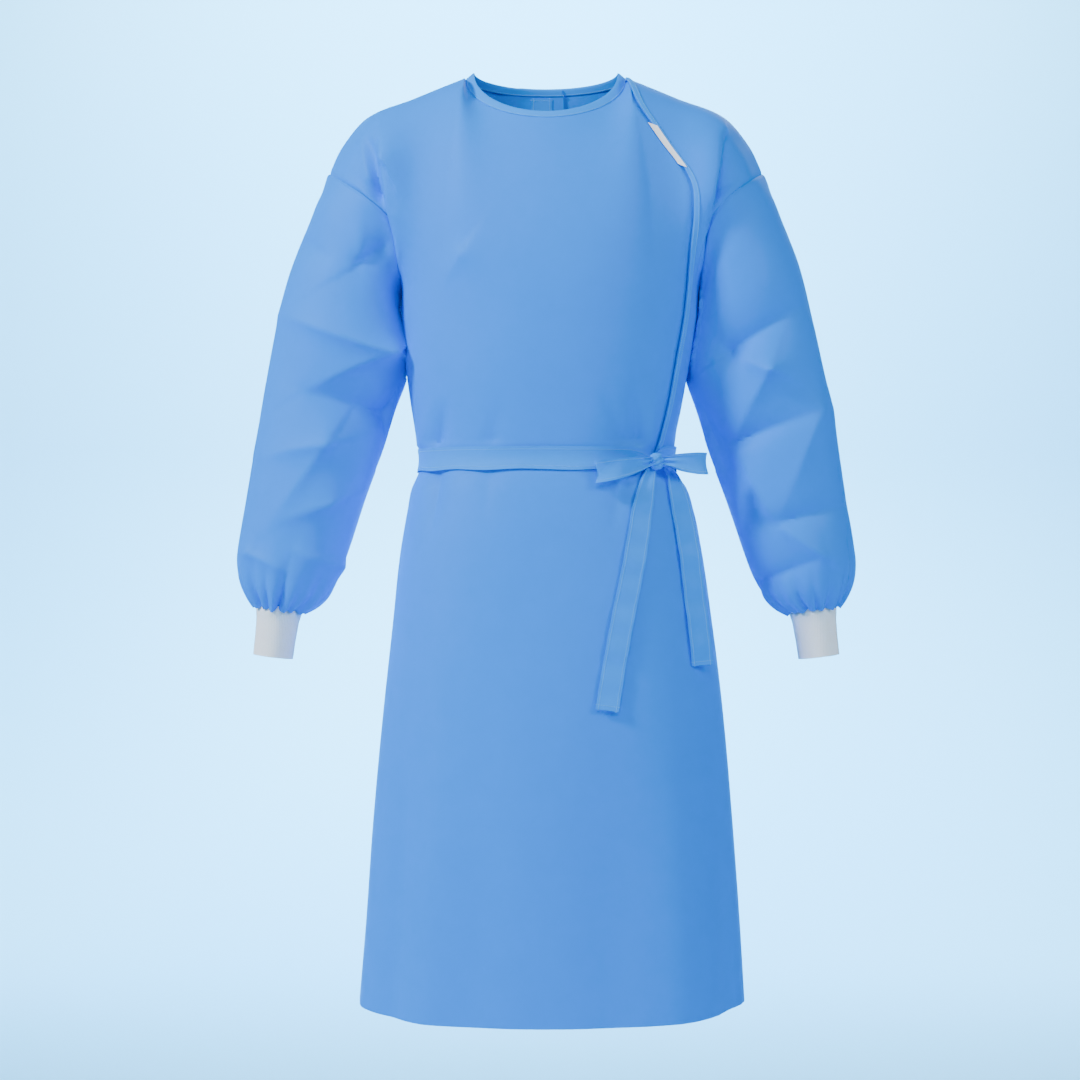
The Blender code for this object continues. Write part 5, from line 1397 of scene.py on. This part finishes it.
class GOWN_OT_bow(bpy.types.Operator):
    """Knot, two loops and the two hanging ends of the belt"""

    bl_idname = "gown.bow"
    bl_label = "Bow"

    def execute(self, context):
        centre, along, normal = knot_frame()
        self.knot(centre, along, normal)
        self.strip("bow_loop_right", *loop_grid(centre, LOOP_RIGHT))
        self.strip("bow_loop_left", *loop_grid(centre, LOOP_LEFT))
        self.strip("belt_tail_right", *tail_grid(TAIL_LEFT_OF_KNOT, TAIL_TURN[0]), rows=(2,))
        self.strip("belt_tail_left", *tail_grid(TAIL_RIGHT_OF_KNOT, TAIL_TURN[1]), rows=(2,))
        return {"FINISHED"}

    def knot(self, centre, along, normal):
        """The wrap of the knot, a rounded block with grooves between its turns."""
        half_run, half_depth, half_rise = KNOT_HALF
        turn = np.linspace(0, 2 * math.pi, KNOT_COLUMNS + 1)[:-1]
        tilt = np.linspace(0.02, math.pi - 0.02, KNOT_ROWS)[:, None]
        swell = np.sin(tilt) ** KNOT_ROUNDNESS
        x = np.sign(np.cos(turn)) * np.abs(np.cos(turn)) ** KNOT_ROUNDNESS * swell
        z = np.sign(np.sin(turn)) * np.abs(np.sin(turn)) ** KNOT_ROUNDNESS * swell
        y = np.cos(tilt) + 0 * turn
        grooves = 0 * y
        for groove in KNOT_GROOVES:
            away = (z - groove.slope * x - groove.height) / math.hypot(1, groove.slope)
            crisp = np.sqrt(away**2 + GROOVE_EDGE**2) - GROOVE_EDGE
            grooves = grooves + groove.depth * np.exp(-crisp / GROOVE_WIDTH)
        size = 1 - grooves * np.clip(y + 0.5, 0, 1)
        points = centre + (x * size * half_run)[..., None] * along
        points = points + (y * size * half_depth)[..., None] * normal
        points[..., 2] += z * size * half_rise
        middle = points.mean(axis=(0, 1))
        mesh = thin_mesh("bow_knot_wrap", points, middle + (points - middle) * 0.8, True)
        add_piece("bow_knot_wrap", mesh, trim_finish(), "trim", "bow_knot")

    def strip(self, node, grid, normals, rows=()):
        """A loop or a hanging end, stitched along both edges and, where it ends, across."""
        trim_piece(node + "_strip", grid, normals, STRIP_SHARE, node)
        add_stitch_lines(node, grid, normals, STITCH_LIFT, columns=(1, -2), rows=rows)


def knot_frame():
    """The knot's middle, the way along the belt there, and the way out."""
    row = row_of(KNOT_Z)
    girth = girth_at(KNOT_X, row, FRONT, CENTRE_FRONT, SIDE_LEFT)
    ground = plain_body(girth, row, FRONT)
    normal = unit(plain_normal(girth, row, FRONT) * np.array([1, 1, 0]))
    along = np.array([-normal[1], normal[0], 0.0])
    return ground + normal * (BELT_LIFT + BELT_WALL + KNOT_LIFT + KNOT_HALF[1]), along, normal


def loop_track(centre, loop, run, low):
    """Where a loop lies at each distance from the knot: round the waist, or straight out."""
    if loop.side > 0:
        away = unit(np.array(LOOP_LEFT_WAY))
        outward = np.array([away[1], -away[0], 0.0])
        return centre + run[:, None] * away, np.repeat(outward[None], len(run), axis=0)
    knot = girth_at(KNOT_X, row_of(KNOT_Z), FRONT, CENTRE_FRONT, SIDE_LEFT)
    girths = np.linspace(knot, CENTRE_FRONT, LOOP_SAMPLES)
    points = plain_body(girths, row_of(BELT_Z), FRONT)
    steps = np.linalg.norm(np.diff(points, axis=0), axis=1)
    place = np.interp(run, np.concatenate([[0], np.cumsum(steps)]), girths)
    points = plain_body(place, row_of(low), FRONT)
    normals = plain_normal(place, row_of(low), FRONT)
    outward = unit(normals * np.array([1, 1, 0]))
    points = points + outward * (BELT_LIFT + BELT_WALL + loop.lift)
    points[:, 2] = centre[2]
    return points, outward


def loop_grid(centre, loop):
    """Points of a loop: out behind, round its end, and back in front, drawn in at the knot."""
    path = [(p.run, p.rise, p.half_width, p.back) for p in LOOP_OUT]
    last = LOOP_OUT[-1]
    path.append((LOOP_END_RUN, last.rise, last.half_width, LOOP_END_DEPTH))
    path += [(p.run, p.rise, p.half_width, p.front) for p in LOOP_OUT[::-1]]
    path = np.array(path)
    step = np.arange(len(path), dtype=float)
    table = np.column_stack([step, path])
    run, rise, half_width, depth = smooth_rows(table, np.linspace(0, step[-1], STRIP_ROWS)).T
    run = loop.root - 0.003 + (run - path[0, 0]) * loop.length
    rise = rise + loop.droop * run
    points, outward = loop_track(centre, loop, run, centre[2] + rise - half_width)
    up = np.array([0.0, 0.0, 1.0])
    points = points + depth[:, None] * outward + rise[:, None] * up
    travel = unit(np.gradient(points, axis=0) * np.array([1, 1, 0]))
    facing = unit(np.cross(travel, up)) * -loop.side
    across = np.linspace(-1, 1, STRIP_COLUMNS)
    grid = points[:, None] + up * (across * half_width[:, None])[..., None]
    drawn = np.exp(-((run - loop.root) / LOOP_PLEAT_REACH) ** 2)
    pleat = LOOP_PLEAT * drawn[:, None] * np.sin(across * 7.5 + 0.6)
    hollow = LOOP_HOLLOW * (1 - drawn[:, None]) * (across**2 - 0.4)
    hollow = hollow + LOOP_WAVE * np.sin(run[:, None] * 150 + across * 1.5) * (1 - drawn[:, None])
    grid = grid + facing[:, None] * (pleat + hollow)[..., None]
    return grid, np.repeat(facing[:, None], STRIP_COLUMNS, axis=1)


def tail_grid(table, turn_forward):
    """Points of a hanging end: its near edge is on the skirt, and it is gathered at the knot."""
    table = np.asarray(table, float)
    run = np.concatenate([[0], np.cumsum(np.hypot(*np.diff(table[:, :2], axis=0).T))])
    places = np.linspace(0, run[-1], STRIP_ROWS)
    x, z, half_width, lift = smooth_rows(np.column_stack([run, table]), places).T
    slope = np.gradient(x, z)
    share = np.linspace(0, 2, STRIP_COLUMNS)
    points, normals = [], []
    for k in range(STRIP_ROWS):
        row = row_of(z[k])
        middle = girth_at(x[k], row, FRONT, CENTRE_FRONT, SIDE_LEFT)
        span = girth_share(row, middle, FRONT, half_width[k])
        near = plain_body(middle - span, row_of(z[k] + slope[k] * half_width[k]), FRONT)
        normal = plain_normal(middle - span, row, FRONT)
        far = plain_body(middle + span, row_of(z[k] - slope[k] * half_width[k]), FRONT)
        across = unit(unit(far - near) * (1 - turn_forward) + np.array([turn_forward, 0, 0]))
        out = unit(np.cross(across, np.array([0, 0, 1.0])))
        drawn = math.exp(-((places[k] / TAIL_PLEAT_REACH) ** 2))
        pleat = TAIL_PLEAT * drawn * np.sin(share * 4.2 + 0.4)
        drift = TAIL_WAVES[0] * math.sin(places[k] * 70) * (1 - drawn)
        drift = drift + TAIL_WAVES[1] * math.sin(places[k] * 173 + 1)
        edge = near + normal * (lift[k] + TAIL_OFF_SKIRT)
        strip = edge + share[:, None] * half_width[k] * across
        points.append(strip + out * (pleat + drift * (1 - drawn))[:, None])
        normals.append(np.repeat(out[None], STRIP_COLUMNS, axis=0))
    return np.array(points[::-1]), np.array(normals[::-1])


class GOWN_OT_tab(bpy.types.Operator):
    """Blank white tab beside the lap's edge"""

    bl_idname = "gown.tab"
    bl_label = "Tab"

    def execute(self, context):
        sizes = context.scene.gown_sizes
        levels = np.linspace(TAB_END_Z - TAB_EXTRA_LOW, TAB_TOP_Z + TAB_EXTRA_HIGH, TAB_ROWS)
        rows = np.linspace(*TAB_SEARCH, 120)
        laps = np.array([lap_place(row) for row in rows])
        heights = plain_body(laps, rows, FRONT)[:, 2]
        across = np.linspace(0, 1, TAB_COLUMNS)[:, None]
        points, normals = [], []
        for z in levels:
            row = float(np.interp(z, heights, rows))
            lap = float(np.interp(row, rows, laps))
            near = girth_share(row, lap, FRONT, TAB_ON_BINDING)
            far = girth_share(row, lap, FRONT, TAB_ON_BINDING - TAB_WIDTH * 1.2)
            point, normal = cloth(lap + far + (near - far) * across[:, 0], row, FRONT)
            points.append(point + normal * (TAB_LIFT + sizes.trim_thickness * across**2))
            normals.append(normal)
        points, normals = np.array(points), np.array(normals)
        mesh = thin_mesh("neck_tab_strip", points, points - normals * (sizes.trim_thickness * TAPE_SHARE))
        add_piece("neck_tab_strip", mesh, tab_finish(), "tab", "neck_tab")
        return {"FINISHED"}


def stitch_tree():
    """Geometry nodes that lay short threads along every line of a mesh."""
    found = bpy.data.node_groups.get("stitch_rows")
    if found:
        return found
    inputs = [("Pitch", "Float"), ("Length", "Float"), ("Radius", "Float")]
    tree, given = geometry_tree("stitch_rows", inputs)
    nodes, links = tree.nodes, tree.links
    curve = nodes.new("GeometryNodeMeshToCurve")
    spots = nodes.new("GeometryNodeCurveToPoints")
    spots.mode = "LENGTH"
    bead = nodes.new("GeometryNodeMeshUVSphere")
    bead.inputs["Segments"].default_value = 6
    bead.inputs["Rings"].default_value = 4
    bead.inputs["Radius"].default_value = 1.0
    half = value_node(tree, "ShaderNodeMath", "MULTIPLY", given.outputs["Length"], 0.5)
    size = nodes.new("ShaderNodeCombineXYZ")
    links.new(given.outputs["Radius"], size.inputs["X"])
    links.new(given.outputs["Radius"], size.inputs["Y"])
    links.new(half, size.inputs["Z"])
    thread = nodes.new("GeometryNodeInstanceOnPoints")
    links.new(given.outputs["Geometry"], curve.inputs["Mesh"])
    links.new(curve.outputs[0], spots.inputs["Curve"])
    links.new(given.outputs["Pitch"], spots.inputs["Length"])
    links.new(spots.outputs["Points"], thread.inputs["Points"])
    links.new(bead.outputs["Mesh"], thread.inputs["Instance"])
    links.new(spots.outputs["Rotation"], thread.inputs["Rotation"])
    links.new(size.outputs[0], thread.inputs["Scale"])
    return end_tree(tree, given, thread.outputs[0])


class GOWN_OT_stitches(bpy.types.Operator):
    """Rows of stitches on the bindings, belt, bow and tape"""

    bl_idname = "gown.stitches"
    bl_label = "Stitches"

    def execute(self, context):
        points, edges = [], []
        for lines in STITCH_LINES.values():
            for line in lines:
                first = len(points)
                points += [tuple(p) for p in line]
                edges += [(first + k, first + k + 1) for k in range(len(line) - 1)]
        mesh = bpy.data.meshes.new("stitch_lines")
        mesh.from_pydata(points, edges, [])
        values = {
            "Pitch": context.scene.gown_sizes.stitch_pitch, "Length": STITCH_LENGTH,
            "Radius": STITCH_RADIUS, "Material": thread_finish(),
        }
        result = evaluated_mesh("stitches", mesh, stitch_tree(), values)
        result.shade_smooth()
        add_piece("stitches", result, thread_finish(), "trim")
        return {"FINISHED"}


def stage_finish(colour):
    """A pale, very matt stage with a slow change of tone."""
    finish = bpy.data.materials.new("stage_pale")
    finish.use_nodes = True
    nodes, links = finish.node_tree.nodes, finish.node_tree.links
    shader = nodes["Principled BSDF"]
    place = nodes.new("ShaderNodeTexCoord")
    cloud = nodes.new("ShaderNodeTexNoise")
    cloud.inputs["Scale"].default_value = 0.5
    cloud.inputs["Detail"].default_value = 0.5
    mix = nodes.new("ShaderNodeMix")
    mix.data_type = "RGBA"
    mix.inputs["A"].default_value = (*(np.array(colour) * STAGE_SHADE), 1)
    mix.inputs["B"].default_value = (*STAGE_LIGHT, 1)
    links.new(place.outputs["Object"], cloud.inputs["Vector"])
    links.new(cloud.outputs["Fac"], mix.inputs["Factor"])
    links.new(mix.outputs["Result"], shader.inputs["Base Color"])
    shader.inputs["Roughness"].default_value = 0.95
    shader.inputs["Specular IOR Level"].default_value = 0.1
    return finish


def soft_light(light):
    """A large square light at its place, turned to its aim."""
    data = bpy.data.lights.new(light.name, "AREA")
    data.shape = "SQUARE"
    data.size = light.size
    data.energy = light.power
    lamp = bpy.data.objects.new(light.name, data)
    bpy.context.scene.collection.objects.link(lamp)
    lamp.location = light.place
    x, y, z = np.subtract(light.aim, light.place)
    lamp.rotation_euler = (math.atan2(math.hypot(x, y), -z), 0, math.atan2(-x, y))
    return data


def wall_light():
    """A wide, narrow light in the photo's backdrop blue that brightens the wall."""
    data = soft_light(WALL_LIGHT)
    data.shape = "RECTANGLE"
    data.size_y = WALL_LIGHT_DEPTH
    data.spread = WALL_LIGHT_SPREAD
    data.color = WALL_LIGHT_COLOUR


def pale_world():
    """A weak, even light from all sides."""
    world = bpy.data.worlds.new("pale")
    world.use_nodes = True
    shade = world.node_tree.nodes["Background"]
    shade.inputs["Color"].default_value = WORLD_COLOUR
    shade.inputs["Strength"].default_value = WORLD_STRENGTH
    bpy.context.scene.world = world


def photo_camera():
    """The camera at the photo's place."""
    data = bpy.data.cameras.new("photo_view")
    data.lens = CAMERA_LENS
    data.sensor_width = CAMERA_SENSOR
    data.sensor_fit = "HORIZONTAL"
    data.dof.use_dof = False
    camera = bpy.data.objects.new("photo_view", data)
    bpy.context.scene.collection.objects.link(camera)
    camera.location = CAMERA_PLACE
    camera.rotation_euler = (math.pi / 2, 0, 0)
    bpy.context.scene.camera = camera


def sweep_mesh():
    """The floor and the wall in one sheet, round where they meet."""
    bend_y, bend_z = WALL_Y - SWEEP_RADIUS, FLOOR_Z + SWEEP_RADIUS
    profile = [(FLOOR_START_Y, FLOOR_Z), (bend_y, FLOOR_Z)]
    for turn in np.linspace(0, math.pi / 2, SWEEP_STEPS)[1:]:
        profile.append((bend_y + SWEEP_RADIUS * math.sin(turn), bend_z - SWEEP_RADIUS * math.cos(turn)))
    profile.append((WALL_Y, WALL_TOP_Z))
    points = [(x, y, z) for y, z in profile for x in (-SWEEP_HALF, SWEEP_HALF)]
    faces = [(2 * k, 2 * k + 1, 2 * k + 3, 2 * k + 2) for k in range(len(profile) - 1)]
    mesh = bpy.data.meshes.new("sweep")
    mesh.from_pydata(points, [], faces)
    mesh.shade_smooth()
    return mesh


class GOWN_OT_stage(bpy.types.Operator):
    """Pale floor and wall in one sweep, soft lights and the camera"""

    bl_idname = "gown.stage"
    bl_label = "Stage"

    def execute(self, context):
        mesh = sweep_mesh()
        mesh.materials.append(stage_finish(tuple(context.scene.gown_colours.backdrop)))
        sweep = bpy.data.objects.new("sweep", mesh)
        context.scene.collection.objects.link(sweep)
        for light in LIGHTS:
            soft_light(light)
        wall_light()
        pale_world()
        photo_camera()
        return {"FINISHED"}


class GOWN_PT_panel(bpy.types.Panel):
    """Sizes, colours and the steps that build the gown"""

    bl_idname = "GOWN_PT_panel"
    bl_label = "Isolation gown"
    bl_space_type = "VIEW_3D"
    bl_region_type = "UI"
    bl_category = "Gown"

    def draw(self, context):
        for group in (context.scene.gown_sizes, context.scene.gown_colours):
            for name in group.bl_rna.properties.keys():
                if name not in ("rna_type", "name"):
                    self.layout.prop(group, name)
        for step in STEPS:
            self.layout.operator(step.bl_idname)


STEPS = (
    GOWN_OT_front, GOWN_OT_backs, GOWN_OT_sleeves, GOWN_OT_cuffs, GOWN_OT_neck, GOWN_OT_belt,
    GOWN_OT_bow, GOWN_OT_tab, GOWN_OT_stitches, GOWN_OT_stage,
)
CLASSES = (GownSizes, GownColours) + STEPS + (GOWN_PT_panel,)


def register():
    """Adds the classes and the scene's two groups of values."""
    for each in CLASSES:
        bpy.utils.register_class(each)
    bpy.types.Scene.gown_sizes = bpy.props.PointerProperty(type=GownSizes)
    bpy.types.Scene.gown_colours = bpy.props.PointerProperty(type=GownColours)


def unregister():
    """Takes away what register adds."""
    del bpy.types.Scene.gown_colours
    del bpy.types.Scene.gown_sizes
    for each in reversed(CLASSES):
        bpy.utils.unregister_class(each)


def main():
    """Builds the gown piece by piece."""
    register()
    for step in STEPS:
        group, name = step.bl_idname.split(".")
        getattr(getattr(bpy.ops, group), name)()


if __name__ == "__main__":
    main()
